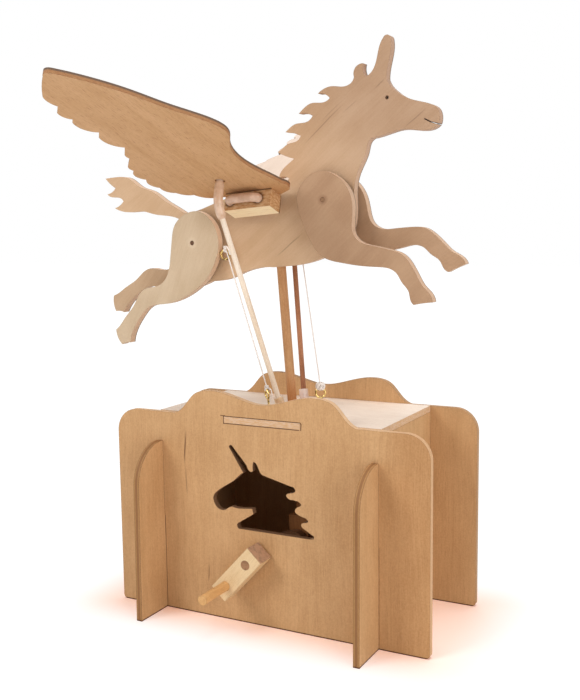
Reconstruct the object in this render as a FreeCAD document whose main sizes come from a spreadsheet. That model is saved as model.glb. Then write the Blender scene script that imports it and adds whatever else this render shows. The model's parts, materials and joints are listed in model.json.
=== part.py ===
import FreeCAD, Part
import math
import os
import Sketcher
from FreeCAD import Placement, Rotation, Vector

# A hand-cranked wooden automaton. A slot-together plywood box holds a crank, which lifts a flat
# winged figure on a wooden rod. Two push rods flap its wings and two cords swing its legs.
#
# Frame, in millimetres: +X along the box towards the figure's head, -Y the crank's side, +Z up,
# origin at the middle of the box's footprint on the floor. "near" is the crank's side.
#
# An outline is a closed list of strokes. A stroke of two points is a line, one of three points is
# an arc, and a longer one is a smooth curve.

DIMENSIONS = {
    # plywood box
    "box_length": 230.0,
    "box_depth": 97.0,
    "ply": 4.2,
    "joint_gap": 0.1,
    "lid_level": 134.4,
    "shoulder_rise": 3.9,
    "saddle_rise": 13.7,
    "crest_rise": 20.6,
    "crest_offset": 42.0,
    "shoulder_end": 67.0,
    "shoulder_radius": 16.0,
    "foot_radius": 3.0,
    "side_panel_offset": 79.5,
    "slot_height": 66.0,
    "fin_reach": 29.9,
    "fin_drop": 16.1,
    "fin_round": 26.3,
    "fin_taper": 1.1,
    "tab_width": 56.0,
    "window_width": 74.9,
    "window_sill": 64.0,
    "window_head_gap": 14.4,
    # crank
    "shaft_offset": -4.4,
    "shaft_height": 46.0,
    "dowel": 6.35,
    "running_gap": 0.05,
    "crank_throw": 9.4,
    "pin_angle": 15.0,
    "arm_angle": 227.0,
    "arm_width": 13.1,
    "arm_thickness": 14.5,
    "arm_standoff": 1.5,
    "arm_top_margin": 9.8,
    "arm_foot_margin": 8.3,
    "handle_spacing": 22.4,
    "handle_reach": 27.5,
    "collar_width": 4.0,
    "collar_gap": 0.3,
    "collar_diameter": 12.7,
    "web_thickness": 6.35,
    "web_width": 13.1,
    "pin_end_gap": 0.3,
    "web_gap": 1.5,
    # lift
    "block_width": 14.0,
    "block_depth": 12.0,
    "block_below": 8.0,
    "block_above": 16.0,
    "guide_offset": -2.1,
    "guide_gap": 1.05,
    "rod_length": 187.2,
    "socket_wall": 1.5,
    "spigot_diameter": 4.0,
    "spigot_length": 16.0,
    "spigot_end_gap": 0.2,
    # figure
    "figure_length": 260.0,
    "board_thickness": 6.35,
    "leg_thickness": 6.35,
    "leg_gap": 3.05,
    "spacer_diameter": 10.0,
    "spacer_gap": 0.1,
    "axle_diameter": 3.2,
    "axle_recess": 0.4,
    "far_front_swing": 16.0,
    "far_rear_swing": 17.5,
    "eye_hole_diameter": 2.4,
    "eye_hole_depth": 1.5,
    # wings
    "wing_reach": 188.0,
    "wing_thickness": 3.2,
    "near_wing_angle": 20.0,
    "far_wing_angle": 23.0,
    "near_wing_root": 5.2,
    "far_wing_root": 5.8,
    "far_wing_sweep": 7.6,
    "wing_sweep_width": 15.0,
    "hinge_gap": 2.6,
    "hinge_height": 40.15,
    "hinge_block_length": 34.8,
    "hinge_block_width": 14.0,
    "hinge_block_height": 12.4,
    "hinge_block_start": 3.0,
    "hinge_block_front": 7.8,
    "hinge_hole_front": -1.5,
    "hinge_hole_rear": -22.8,
    "tube_diameter": 6.35,
    "tube_bend": 4.9,
    "tube_end_gap": 0.3,
    # push rods
    "push_rod_diameter": 3.6,
    "near_rod_hole_place": -19.5,
    "far_rod_hole_place": -11.9,
    "rod_hole_reach": 36.8,
    "rod_tube_drop": 15.2,
    "rod_tube_entry": 2.56,
    "rod_bend_gap": 0.3,
    "rod_top_sleeve": 9.0,
    "rod_foot_sleeve": 8.0,
    "rod_foot_offset": -2.3,
    "rod_foot_spread": 17.4,
    "rod_foot_rise": 4.4,
    "sleeve_lift": 2.1,
    "peg_diameter": 2.0,
    "peg_shift": 0.55,
    "peg_height": 4.6,
    "peg_rod_gap": 1.2,
    # screw eyes and cords
    "eye_radius": 3.25,
    "eye_wire": 1.4,
    "eye_thread": 5.0,
    "eye_thread_cover": 0.6,
    "cord_diameter": 1.2,
    "cord_gap": 0.3,
    "lid_eye_rise": 9.7,
    "rear_lid_eye": -17.2,
    "rear_lid_eye_lean": -11.6,
    "front_lid_eye": 14.5,
    "rear_leg_eye_x": -37.94,
    "rear_leg_eye_z": 11.47,
    "rear_leg_shank": 10.5,
    "front_leg_eye_x": 10.4,
    "front_leg_eye_z": 22.0,
    "front_leg_shank": 21.4,
}

# The wavy top edge of the front and back panels. First number: the share of the way from the
# shoulder's end to the crest, or from the crest to the middle. Second number: the share of the rise.
SHOULDER_WAVE = [(0.0, 0.0), (0.16, 0.11), (0.40, 0.46), (0.66, 0.85), (1.0, 1.0)]
SADDLE_WAVE = [(0.5, 0.62), (1.0, 0.0)]

# How far along a fin's corner, and how far up it, its rounding bulges.
FIN_BULGE = 0.72

# The window's silhouette on a unit square: 0 to 1 across from left to right, 0 to 1 up from the sill.
WINDOW_CENTRE = 0.501
WINDOW = [
    [(0.173, 0.975), (0.189, 1.000), (0.208, 0.987)],
    [(0.208, 0.987), (0.350, 0.774)],
    [(0.350, 0.774), (0.367, 0.725), (0.392, 0.705), (0.413, 0.724)],
    [(0.413, 0.724), (0.410, 0.784), (0.419, 0.828)],
    [(0.419, 0.828), (0.439, 0.815), (0.472, 0.737), (0.509, 0.681)],
    [(0.509, 0.681), (0.787, 0.588)],
    [(0.787, 0.588), (0.817, 0.572), (0.826, 0.545), (0.810, 0.521), (0.761, 0.504), (0.737, 0.483),
     (0.748, 0.453), (0.792, 0.436)],
    [(0.792, 0.436), (0.837, 0.426)],
    [(0.837, 0.426), (0.870, 0.408), (0.879, 0.388), (0.866, 0.370), (0.833, 0.345), (0.820, 0.312),
     (0.832, 0.281)],
    [(0.832, 0.281), (0.872, 0.256), (0.909, 0.242)],
    [(0.909, 0.242), (0.937, 0.223), (0.944, 0.202), (0.928, 0.188), (0.897, 0.181), (0.879, 0.158),
     (0.883, 0.134), (0.900, 0.115)],
    [(0.900, 0.115), (0.980, 0.052)],
    [(0.980, 0.052), (1.000, 0.023), (0.987, 0.000)],
    [(0.987, 0.000), (0.277, 0.000)],
    [(0.277, 0.000), (0.252, 0.007), (0.243, 0.036), (0.265, 0.077)],
    [(0.265, 0.077), (0.396, 0.189)],
    [(0.396, 0.189), (0.408, 0.213), (0.402, 0.238), (0.403, 0.264)],
    [(0.403, 0.264), (0.316, 0.251), (0.234, 0.246), (0.193, 0.256)],
    [(0.193, 0.256), (0.163, 0.244), (0.132, 0.214), (0.092, 0.199), (0.052, 0.211), (0.023, 0.245),
     (0.004, 0.295), (0.000, 0.343), (0.013, 0.382), (0.041, 0.420), (0.116, 0.492), (0.212, 0.572),
     (0.250, 0.617), (0.283, 0.657), (0.314, 0.683)],
    [(0.314, 0.683), (0.173, 0.975)],
]

# Outlines of the figure at its design length, in its own frame: x towards the nose, z up along the
# drive rod, origin where the rod meets the belly.
DESIGN_LENGTH = 260.0
FIGURE_EYE = (86.3, 100.0)
BODY_BOARD = [
    [(86.6, 136.6), (89.4, 138.0), (91.6, 135.2)],
    [(91.6, 135.2), (91.6, 131.0), (89.8, 123.5), (87.0, 111.2)],
    [(87.0, 111.2), (88.6, 107.6), (93.2, 102.4), (97.0, 99.3), (106.5, 94.9), (114.5, 91.9),
     (118.6, 88.9), (119.9, 85.0), (118.9, 79.3)],
    [(118.9, 79.3), (114.0, 81.15), (110.4, 83.4)],
    [(110.4, 83.4), (110.25, 83.15)],
    [(110.25, 83.15), (113.85, 80.85), (118.7, 79.0)],
    [(118.7, 79.0), (115.7, 77.1), (110.0, 76.5), (102.0, 78.0), (96.2, 79.0), (85.0, 77.8),
     (74.8, 76.5)],
    [(74.8, 76.5), (71.6, 74.2), (69.6, 68.8), (63.4, 57.6), (60.6, 51.2), (59.3, 44.0), (58.8, 34.0),
     (56.0, 21.0), (47.0, 10.0), (33.0, 3.6), (18.0, 0.6), (4.0, 0.0)],
    [(4.0, 0.0), (-4.0, 0.0)],
    [(-4.0, 0.0), (-18.0, 0.2), (-29.7, -2.1), (-38.3, -4.9), (-49.8, -6.3), (-62.0, -5.7),
     (-75.0, -2.0), (-81.0, 9.0), (-82.0, 22.0), (-78.1, 39.9)],
    [(-78.1, 39.9), (-84.6, 42.2), (-98.3, 44.9), (-107.9, 47.9), (-121.3, 48.7), (-129.3, 50.6),
     (-133.7, 52.9)],
    [(-133.7, 52.9), (-128.6, 54.5), (-125.3, 57.0)],
    [(-125.3, 57.0), (-127.6, 59.5), (-134.5, 60.9), (-139.3, 63.7)],
    [(-139.3, 63.7), (-134.0, 65.2), (-131.5, 67.3)],
    [(-131.5, 67.3), (-136.0, 70.9), (-139.7, 75.2)],
    [(-139.7, 75.2), (-128.0, 75.1), (-120.1, 73.6), (-109.5, 65.8), (-100.3, 62.1), (-89.4, 54.2),
     (-80.6, 48.5), (-73.0, 43.4)],
    [(-73.0, 43.4), (-62.9, 43.8), (-46.8, 47.7), (-25.0, 51.5), (-5.0, 51.5), (11.3, 50.2)],
    [(11.3, 50.2), (10.4, 54.6), (13.2, 57.8)],
    [(13.2, 57.8), (10.0, 59.4), (5.4, 59.0)],
    [(5.4, 59.0), (7.2, 62.9), (11.3, 66.4), (17.8, 70.4)],
    [(17.8, 70.4), (11.0, 73.2), (6.0, 76.0)],
    [(6.0, 76.0), (9.3, 77.9), (14.1, 80.5), (21.0, 81.6), (24.0, 84.6)],
    [(24.0, 84.6), (19.0, 86.9), (13.0, 88.4)],
    [(13.0, 88.4), (16.6, 90.9), (20.5, 92.6), (27.6, 92.7), (33.8, 96.2)],
    [(33.8, 96.2), (29.5, 98.3), (23.9, 98.9)],
    [(23.9, 98.9), (28.8, 102.5), (33.4, 104.3), (40.5, 103.6), (47.0, 105.6)],
    [(47.0, 105.6), (43.6, 108.6), (38.9, 109.6)],
    [(38.9, 109.6), (43.5, 112.1), (49.0, 112.8), (58.3, 111.3), (62.8, 112.8), (65.0, 116.0)],
    [(65.0, 116.0), (66.6, 121.9), (72.0, 123.4)],
    [(72.0, 123.4), (71.4, 119.2), (73.0, 115.0)],
    [(73.0, 115.0), (77.2, 117.3), (80.4, 122.2), (82.6, 129.0), (86.6, 136.6)],
]
FRONT_PIVOT = (40.8, 40.8)
FRONT_LEG = [
    [(22.1, 44.5), (24.4, 49.6), (30.1, 55.6), (40.8, 59.3), (50.3, 55.8), (58.7, 46.7), (61.4, 37.0),
     (60.4, 26.0), (60.3, 17.7), (64.4, 12.0), (73.5, 8.4), (84.1, 5.3), (93.0, 1.2), (98.1, -5.5),
     (102.1, -13.8), (104.7, -18.8), (108.2, -22.9), (110.7, -29.5)],
    [(110.7, -29.5), (104.5, -29.7), (98.1, -30.4)],
    [(98.1, -30.4), (96.2, -27.6), (95.3, -21.9), (91.2, -15.8), (88.4, -10.4), (83.5, -6.7),
     (76.0, -5.2), (64.8, -3.7), (49.8, -0.4), (37.6, 4.3), (30.0, 14.5), (25.7, 24.8), (23.0, 35.0),
     (22.1, 44.5)],
]
REAR_PIVOT = (-62.4, 21.5)
REAR_LEG = [
    [(-56.8, 43.1), (-63.8, 42.6), (-70.6, 39.7), (-76.0, 34.5), (-79.2, 25.0), (-81.6, 13.5),
     (-84.2, 3.8), (-90.0, -4.2), (-98.5, -7.0), (-106.3, -7.9), (-112.0, -11.8), (-117.4, -19.0),
     (-126.8, -28.0), (-132.0, -33.4), (-135.8, -36.1)],
    [(-135.8, -36.1), (-134.6, -42.6), (-131.5, -47.3)],
    [(-131.5, -47.3), (-127.8, -46.2), (-124.0, -46.2)],
    [(-124.0, -46.2), (-122.4, -41.2), (-118.0, -34.0), (-112.0, -27.2), (-104.6, -21.3),
     (-91.0, -19.8), (-74.0, -16.4), (-61.3, -10.3), (-51.7, -2.9), (-44.7, 7.4), (-41.1, 17.0),
     (-41.2, 26.0), (-45.6, 36.0), (-56.8, 43.1)],
]

# The wing at its design root and reach: x towards the nose, second number outwards from the hinge.
DESIGN_ROOT = 5.2
DESIGN_REACH = 188.0
WING = [
    [(-27.0, 5.2), (8.5, 5.2)],
    [(8.5, 5.2), (17.0, 10.2)],
    [(17.0, 10.2), (20.2, 15.4), (18.3, 22.0)],
    [(18.3, 22.0), (14.6, 36.0), (11.2, 49.0), (10.2, 60.0), (11.6, 71.5), (15.6, 82.0), (21.0, 91.0),
     (23.2, 99.5), (21.4, 108.3), (16.4, 118.0), (6.8, 133.1), (-3.4, 152.5), (-17.3, 172.8),
     (-30.1, 186.6)],
    [(-30.1, 186.6), (-33.4, 187.9), (-36.8, 185.6)],
    [(-36.8, 185.6), (-41.6, 181.0), (-46.4, 175.8), (-53.3, 167.4)],
    [(-53.3, 167.4), (-54.6, 161.0), (-52.9, 155.6)],
    [(-52.9, 155.6), (-58.8, 149.3)],
    [(-58.8, 149.3), (-59.0, 144.0), (-55.5, 139.8)],
    [(-55.5, 139.8), (-58.3, 136.8)],
    [(-58.3, 136.8), (-58.9, 128.9), (-51.4, 120.9)],
    [(-51.4, 120.9), (-56.0, 115.4)],
    [(-56.0, 115.4), (-56.6, 107.4), (-49.4, 98.7)],
    [(-49.4, 98.7), (-55.9, 90.4)],
    [(-55.9, 90.4), (-57.2, 87.2), (-56.8, 84.2)],
    [(-56.8, 84.2), (-64.8, 75.1)],
    [(-64.8, 75.1), (-66.9, 71.0), (-66.2, 67.7)],
    [(-66.2, 67.7), (-69.1, 64.2)],
    [(-69.1, 64.2), (-70.4, 57.6), (-66.9, 53.0)],
    [(-66.9, 53.0), (-68.9, 49.6)],
    [(-68.9, 49.6), (-69.6, 43.2), (-66.1, 38.3)],
    [(-66.1, 38.3), (-65.6, 31.4), (-60.4, 27.6)],
    [(-60.4, 27.6), (-56.6, 22.8), (-50.1, 21.0)],
    [(-50.1, 21.0), (-46.0, 15.0), (-38.8, 12.2)],
    [(-38.8, 12.2), (-30.0, 11.6)],
    [(-30.0, 11.6), (-27.0, 5.2)],
]

NEAR = -1
FAR = 1
UP = Vector(0, 0, 1)
OVERRUN = 1.0

doc = FreeCAD.newDocument("CrankAutomaton")
sheet = doc.addObject("Spreadsheet::Sheet", "Dimensions")
for row, (alias, size) in enumerate(DIMENSIONS.items(), start=1):
    sheet.set(f"A{row}", alias)
    sheet.set(f"B{row}", str(size))
    sheet.setAlias(f"B{row}", alias)
doc.recompute()

nodes = []


def size_of(alias):
    """Return the number that the sheet holds under an alias."""
    return float(sheet.get(alias))


def cell(alias):
    """Return the expression that reads one cell of the sheet."""
    return f"Dimensions.{alias}"


def keep(feature, label):
    """Name a finished sub-part and list it for export."""
    feature.Label = label
    nodes.append(feature)
    return feature


def tie(feature, **expressions):
    """Bind properties to expressions; two underscores in a name stand for a dot."""
    for name, expression in expressions.items():
        feature.setExpression(name.replace("__", "."), expression)


# ---- sketched pieces ---------------------------------------------------------------------------


def new_body(label, placement=Placement()):
    """Start a PartDesign body that becomes the sub-part of that name."""
    body = keep(doc.addObject("PartDesign::Body", label), label)
    body.Placement = placement
    return body


def sketch_on(body, role):
    """Add a sketch on one of the body's own origin planes."""
    plane = next(item for item in body.Origin.OriginFeatures if item.Role == role)
    sketch = body.newObject("Sketcher::SketchObject", body.Name + "_outline")
    sketch.AttachmentSupport = [(plane, "")]
    sketch.MapMode = "FlatFace"
    return sketch


def draw(sketch, outline):
    """Draw a closed outline given as strokes."""
    for stroke in outline:
        points = [Vector(a, b, 0) for a, b in stroke]
        if len(points) == 2:
            sketch.addGeometry(Part.LineSegment(*points), False)
        elif len(points) == 3:
            sketch.addGeometry(Part.Arc(*points), False)
        else:
            curve = Part.BSplineCurve()
            curve.interpolate(points)
            sketch.addGeometry(curve, False)


def draw_hole(sketch, centre, diameter):
    """Draw a round hole whose diameter is an expression."""
    circle = sketch.addGeometry(Part.Circle(Vector(*centre, 0), UP, 1.0), False)
    radius = sketch.addConstraint(Sketcher.Constraint("Radius", circle, 1.0))
    sketch.setExpression(f"Constraints[{radius}]", f"({diameter}) / 2")


def pad(body, sketch, thickness, backwards=False):
    """Give a sketch its thickness, along the plane's normal or against it."""
    feature = body.newObject("PartDesign::Pad", body.Name + "_pad")
    feature.Profile = sketch
    feature.Reversed = backwards
    feature.setExpression("Length", thickness)
    sketch.Visibility = False
    body.Tip = feature
    return feature


def drill(body, mouth, direction, diameter, depth):
    """Drill a round hole from a mouth point, both given in the model's frame."""
    inverse = body.Placement.inverse()
    start = inverse.multVec(mouth)
    along = inverse.Rotation.multVec(direction)
    feature = body.newObject("PartDesign::SubtractiveCylinder", body.Name + "_drilling")
    feature.Placement = Placement(start, Rotation(UP, along))
    feature.Height = depth
    feature.setExpression("Radius", f"({diameter}) / 2")
    body.Tip = feature
    return feature


def rectangle(left, low, right, high):
    """Return the strokes of an upright rectangle."""
    corners = [(left, low), (right, low), (right, high), (left, high)]
    return [[corners[k], corners[(k + 1) % 4]] for k in range(4)]


def polyline(points):
    """Return the strokes of an open run of lines."""
    return [[first, second] for first, second in zip(points[:-1], points[1:])]


def mirrored(outline):
    """Return strokes mirrored left to right, in the order that continues the first half."""
    return [[(-a, b) for a, b in reversed(stroke)] for stroke in reversed(outline)]


# ---- round pieces ------------------------------------------------------------------------------


def cylinder(name, start, direction, diameter, length):
    """Make a plain cylinder; diameter and length are expressions."""
    feature = doc.addObject("Part::Cylinder", name)
    feature.Placement = Placement(start, Rotation(UP, direction))
    feature.setExpression("Radius", f"({diameter}) / 2")
    feature.setExpression("Height", length)
    return feature


def tube(label, start, direction, outer, inner, length):
    """Make a round tube, kept as a sub-part."""
    feature = doc.addObject("Part::Cut", label)
    feature.Base = cylinder(label + "_outside", start, direction, outer, length)
    feature.Tool = cylinder(label + "_bore", start, direction, inner, length)
    return keep(feature, label)


def group(label, pieces):
    """Keep several like pieces as one sub-part of separate solids."""
    feature = doc.addObject("Part::Compound", label)
    feature.Links = pieces
    return keep(feature, label)


def screw_eye(label, centre, shank_direction, shank_length):
    """Make a brass screw eye: a ring that faces the crank's side and a shank that leaves it."""
    ring = doc.addObject("Part::Torus", label + "_ring")
    ring.Placement = Placement(Vector(), Rotation(Vector(1, 0, 0), 90))
    tie(ring, Radius1=cell("eye_radius"), Radius2=cell("eye_wire") + " / 2")
    shank = doc.addObject("Part::Cylinder", label + "_shank")
    shank.Placement = Placement(Vector(0, 0, size_of("eye_radius")), Rotation())
    tie(shank, Radius=cell("eye_wire") + " / 2")
    shank.Height = shank_length - size_of("eye_radius")
    eye = doc.addObject("Part::Fuse", label)
    eye.Base = ring
    eye.Tool = shank
    eye.Placement = Placement(centre, Rotation(UP, shank_direction))
    return keep(eye, label)


# ---- places that several pieces share ----------------------------------------------------------

half_depth = size_of("box_depth") / 2
ply = size_of("ply")
joint_gap = size_of("joint_gap")
lid_top = size_of("lid_level") + ply
shaft = Vector(size_of("shaft_offset"), 0, size_of("shaft_height"))
pin_angle = math.radians(size_of("pin_angle"))
pin = shaft + Vector(math.cos(pin_angle), 0, math.sin(pin_angle)) * size_of("crank_throw")
guide = Vector(size_of("guide_offset"), 0, lid_top - ply / 2)
rod_axis = (guide - pin).normalize()
lean = math.degrees(math.atan2(-rod_axis.x, rod_axis.z))
figure = Placement(pin + rod_axis * size_of("rod_length"), Rotation(Vector(0, 1, 0), -lean))
figure_scale = size_of("figure_length") / DESIGN_LENGTH
board_half = size_of("board_thickness") / 2
leg_inner = board_half + size_of("leg_gap")
leg_middle = leg_inner + size_of("leg_thickness") / 2
hinge_level = size_of("hinge_height") * figure_scale
running_bore = cell("dowel") + " + 2 * " + cell("running_gap")


def in_figure(x, y, z):
    """Return the model's place of a point given in the figure's frame."""
    return figure.multVec(Vector(x, y, z))


def along_figure(x, y, z):
    """Return the model's direction of one given in the figure's frame."""
    return figure.Rotation.multVec(Vector(x, y, z))


def scaled(outline, factor, about=(0.0, 0.0)):
    """Return an outline scaled from the origin and moved so that a point becomes the origin."""
    return [[((a - about[0]) * factor, (b - about[1]) * factor) for a, b in stroke] for stroke in outline]


# ---- box ---------------------------------------------------------------------------------------


def panel_outline():
    """Return the outline that the front and back panels share."""
    half = size_of("box_length") / 2
    shoulder = size_of("lid_level") + size_of("shoulder_rise")
    saddle = size_of("lid_level") + size_of("saddle_rise")
    crest = size_of("lid_level") + size_of("crest_rise")
    peak = size_of("crest_offset")
    end = size_of("shoulder_end")
    corner = size_of("shoulder_radius")
    foot = size_of("foot_radius")
    slot = size_of("side_panel_offset")
    slot_half = ply / 2 + joint_gap
    slot_top = size_of("slot_height")
    diagonal = math.sin(math.radians(45))
    wave = [(end - along * (end - peak), shoulder + rise * (crest - shoulder))
            for along, rise in SHOULDER_WAVE]
    wave += [(peak - along * peak, saddle + rise * (crest - saddle)) for along, rise in SADDLE_WAVE]
    wave += [(-a, b) for a, b in reversed(wave[:-1])]
    side = polyline([(0.0, 0.0), (slot - slot_half, 0.0), (slot - slot_half, slot_top),
                     (slot + slot_half, slot_top), (slot + slot_half, 0.0), (half - foot, 0.0)])
    side.append([(half - foot, 0.0), (half - foot * (1 - diagonal), foot * (1 - diagonal)), (half, foot)])
    side.append([(half, foot), (half, shoulder - corner)])
    side.append([(half, shoulder - corner),
                 (half - corner * (1 - diagonal), shoulder - corner * (1 - diagonal)),
                 (half - corner, shoulder)])
    side.append([(half - corner, shoulder), (end, shoulder)])
    return side + [wave] + mirrored(side)


def window_outline():
    """Return the window's outline, set between its sill and the lid."""
    width = size_of("window_width")
    sill = size_of("window_sill")
    height = size_of("lid_level") - size_of("window_head_gap") - sill
    return [[((a - WINDOW_CENTRE) * width, sill + b * height) for a, b in stroke] for stroke in WINDOW]


def end_panel(label, side, window=None):
    """Make the front or back panel, with its shaft bearing and the slot for the lid's tab."""
    body = new_body(label)
    sketch = sketch_on(body, "XZ_Plane")
    draw(sketch, panel_outline())
    tab = size_of("tab_width") / 2 + joint_gap
    draw(sketch, rectangle(-tab, size_of("lid_level") - joint_gap, tab, lid_top + joint_gap))
    draw_hole(sketch, (shaft.x, shaft.z), running_bore)
    if window:
        draw(sketch, window)
    pad(body, sketch, cell("ply"), backwards=side == FAR)
    tie(body, Placement__Base__y=f"{side} * ({cell('box_depth')} / 2 - {cell('ply')})")


def side_panel(label, side):
    """Make a side panel whose ends stand out of the box as fins."""
    body = new_body(label)
    sketch = sketch_on(body, "YZ_Plane")
    inner = half_depth - ply - joint_gap
    outer = half_depth + joint_gap
    foot = half_depth + size_of("fin_reach")
    reach = foot - size_of("fin_taper")
    root = size_of("lid_level") - size_of("fin_drop")
    shoulder = root - size_of("fin_round")
    bulge = (outer + (reach - outer) * FIN_BULGE, shoulder + (root - shoulder) * FIN_BULGE)
    half = [
        [(0.0, 0.0), (foot, 0.0)],
        [(foot, 0.0), (reach, shoulder)],
        [(reach, shoulder), bulge, (outer, root)],
    ]
    half += polyline([(outer, root), (outer, size_of("slot_height")), (inner, size_of("slot_height")),
                      (inner, size_of("lid_level")), (0.0, size_of("lid_level"))])
    draw(sketch, half + mirrored(half))
    pad(body, sketch, cell("ply"))
    tie(body, Placement__Base__x=f"{side} * {cell('side_panel_offset')} - {cell('ply')} / 2")


def top_panel():
    """Make the lid with its two tabs, the guide hole and the holes for eyes and pegs."""
    body = new_body("top_panel")
    sketch = sketch_on(body, "XY_Plane")
    end = size_of("side_panel_offset") + ply / 2
    inner = half_depth - ply - joint_gap
    tab = size_of("tab_width") / 2
    right = polyline([(0.0, -half_depth), (tab, -half_depth), (tab, -inner), (end, -inner),
                      (end, inner), (tab, inner), (tab, half_depth), (0.0, half_depth)])
    draw(sketch, right + mirrored(right))
    draw_hole(sketch, (guide.x, 0.0), f"{cell('dowel')} + {cell('guide_gap')}")
    pad(body, sketch, cell("ply"))
    body.Placement = Placement(Vector(0, 0, size_of("lid_level")), Rotation())
    tie(body, Placement__Base__z=cell("lid_level"))
    for side in (NEAR, FAR):
        down = -rod_direction(side)
        start = rod_at_level(side, lid_top + ply) + peg_shift(side)
        drill(body, start, down, cell("peg_diameter") + " + " + cell("running_gap"), 4 * ply)
    for centre, shank in (rear_lid_eye(), front_lid_eye()):
        drill(body, centre, shank, cell("eye_wire") + " + " + cell("running_gap"),
              size_of("lid_eye_rise") + 2 * ply)


def rear_lid_eye():
    """Return the rear lid eye's ring centre and the direction of its shank."""
    angle = math.radians(size_of("rear_lid_eye_lean"))
    shank = Vector(-math.sin(angle), 0, -math.cos(angle))
    return Vector(size_of("rear_lid_eye"), -leg_middle, lid_top + size_of("lid_eye_rise")), shank


def front_lid_eye():
    """Return the front lid eye's ring centre and the direction of its shank."""
    return Vector(size_of("front_lid_eye"), leg_middle, lid_top + size_of("lid_eye_rise")), -UP


def box():
    """Build the five panels and what is fixed to the lid."""
    end_panel("front_panel", NEAR, window_outline())
    end_panel("back_panel", FAR)
    side_panel("left_side_panel", -1)
    side_panel("right_side_panel", 1)
    top_panel()
    for label, (centre, shank) in (("rear_lid_eye", rear_lid_eye()), ("front_lid_eye", front_lid_eye())):
        length = size_of("lid_eye_rise") + min(size_of("eye_thread"), ply - size_of("eye_thread_cover"))
        screw_eye(label, centre, shank, length)
    for side, word in ((NEAR, "near"), (FAR, "far")):
        start = rod_at_level(side, lid_top - ply) + peg_shift(side)
        length = (ply + size_of("peg_height")) / rod_direction(side).z
        keep(cylinder(f"{word}_rod_peg", start, rod_direction(side), cell("peg_diameter"), f"{length}"),
             f"{word}_rod_peg")


# ---- crank -------------------------------------------------------------------------------------


def crank_web(label, side):
    """Make one of the two webs that carry the crank pin."""
    turn = Rotation(Vector(0, 1, 0), -size_of("pin_angle"))
    inner = size_of("block_depth") / 2 + size_of("web_gap")
    body = new_body(label, Placement(shaft + Vector(0, side * inner, 0), turn))
    sketch = sketch_on(body, "XZ_Plane")
    half = size_of("web_width") / 2
    throw = size_of("crank_throw")
    draw(sketch, [
        [(0.0, half), (-half, 0.0), (0.0, -half)],
        [(0.0, -half), (throw, -half)],
        [(throw, -half), (throw + half, 0.0), (throw, half)],
        [(throw, half), (0.0, half)],
    ])
    draw_hole(sketch, (0.0, 0.0), running_bore)
    draw_hole(sketch, (throw, 0.0), running_bore)
    pad(body, sketch, cell("web_thickness"), backwards=side == FAR)


def crank():
    """Build everything that turns with the handle."""
    arm_back = -half_depth - size_of("arm_standoff")
    arm_front = arm_back - size_of("arm_thickness")
    angle = size_of("arm_angle")
    body = new_body("crank_arm", Placement(Vector(shaft.x, arm_back, shaft.z),
                                           Rotation(Vector(0, 1, 0), -angle)))
    sketch = sketch_on(body, "XZ_Plane")
    half = size_of("arm_width") / 2
    far_end = size_of("handle_spacing") + size_of("arm_foot_margin")
    draw(sketch, rectangle(-size_of("arm_top_margin"), -half, far_end, half))
    draw_hole(sketch, (0.0, 0.0), running_bore)
    draw_hole(sketch, (size_of("handle_spacing"), 0.0), running_bore)
    pad(body, sketch, cell("arm_thickness"))

    away = Vector(0, -1, 0)
    knob = body.Placement.multVec(Vector(size_of("handle_spacing"), 0, 0))
    keep(cylinder("crank_handle", knob, away, cell("dowel"),
                  f"{cell('arm_thickness')} + {cell('handle_reach')}"), "crank_handle")

    web_inner = size_of("block_depth") / 2 + size_of("web_gap")
    front_end = Vector(shaft.x, -web_inner, shaft.z)
    keep(cylinder("front_crankshaft", front_end, away, cell("dowel"), f"{-arm_front - web_inner}"),
         "front_crankshaft")
    rear_end = Vector(shaft.x, web_inner, shaft.z)
    rear_length = half_depth + size_of("arm_standoff") / 2 - web_inner
    keep(cylinder("rear_crankshaft", rear_end, -away, cell("dowel"), f"{rear_length}"), "rear_crankshaft")

    pin_inner = size_of("block_depth") / 2 + size_of("pin_end_gap")
    pin_length = size_of("web_gap") + size_of("web_thickness") - size_of("pin_end_gap")
    collar_start = half_depth - ply - size_of("collar_gap")
    for side, word in ((NEAR, "front"), (FAR, "rear")):
        outwards = Vector(0, side, 0)
        crank_web(f"{word}_crank_web", side)
        keep(cylinder(f"{word}_crank_pin", pin + outwards * pin_inner, outwards, cell("dowel"),
                      f"{pin_length}"), f"{word}_crank_pin")
        tube(f"{word}_shaft_collar", shaft + outwards * collar_start, -outwards,
             cell("collar_diameter"), running_bore, cell("collar_width"))


# ---- figure ------------------------------------------------------------------------------------


def figure_plate(label, outline, pivot, middle_y, thickness, swing=0.0):
    """Make a flat board of the figure, drawn about a pivot and swung about it."""
    place = in_figure(pivot[0] * figure_scale, middle_y + size_of(thickness) / 2, pivot[1] * figure_scale)
    body = new_body(label, Placement(place, figure.Rotation * Rotation(Vector(0, 1, 0), swing)))
    sketch = sketch_on(body, "XZ_Plane")
    draw(sketch, scaled(outline, figure_scale, pivot))
    return body, sketch


def leg(label, outline, pivot, side, swing=0.0):
    """Make a leg with its axle hole."""
    body, sketch = figure_plate(label, outline, pivot, side * leg_middle, "leg_thickness", swing)
    draw_hole(sketch, (0.0, 0.0), f"{cell('axle_diameter')} + 2 * {cell('running_gap')}")
    pad(body, sketch, cell("leg_thickness"))
    return body


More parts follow.
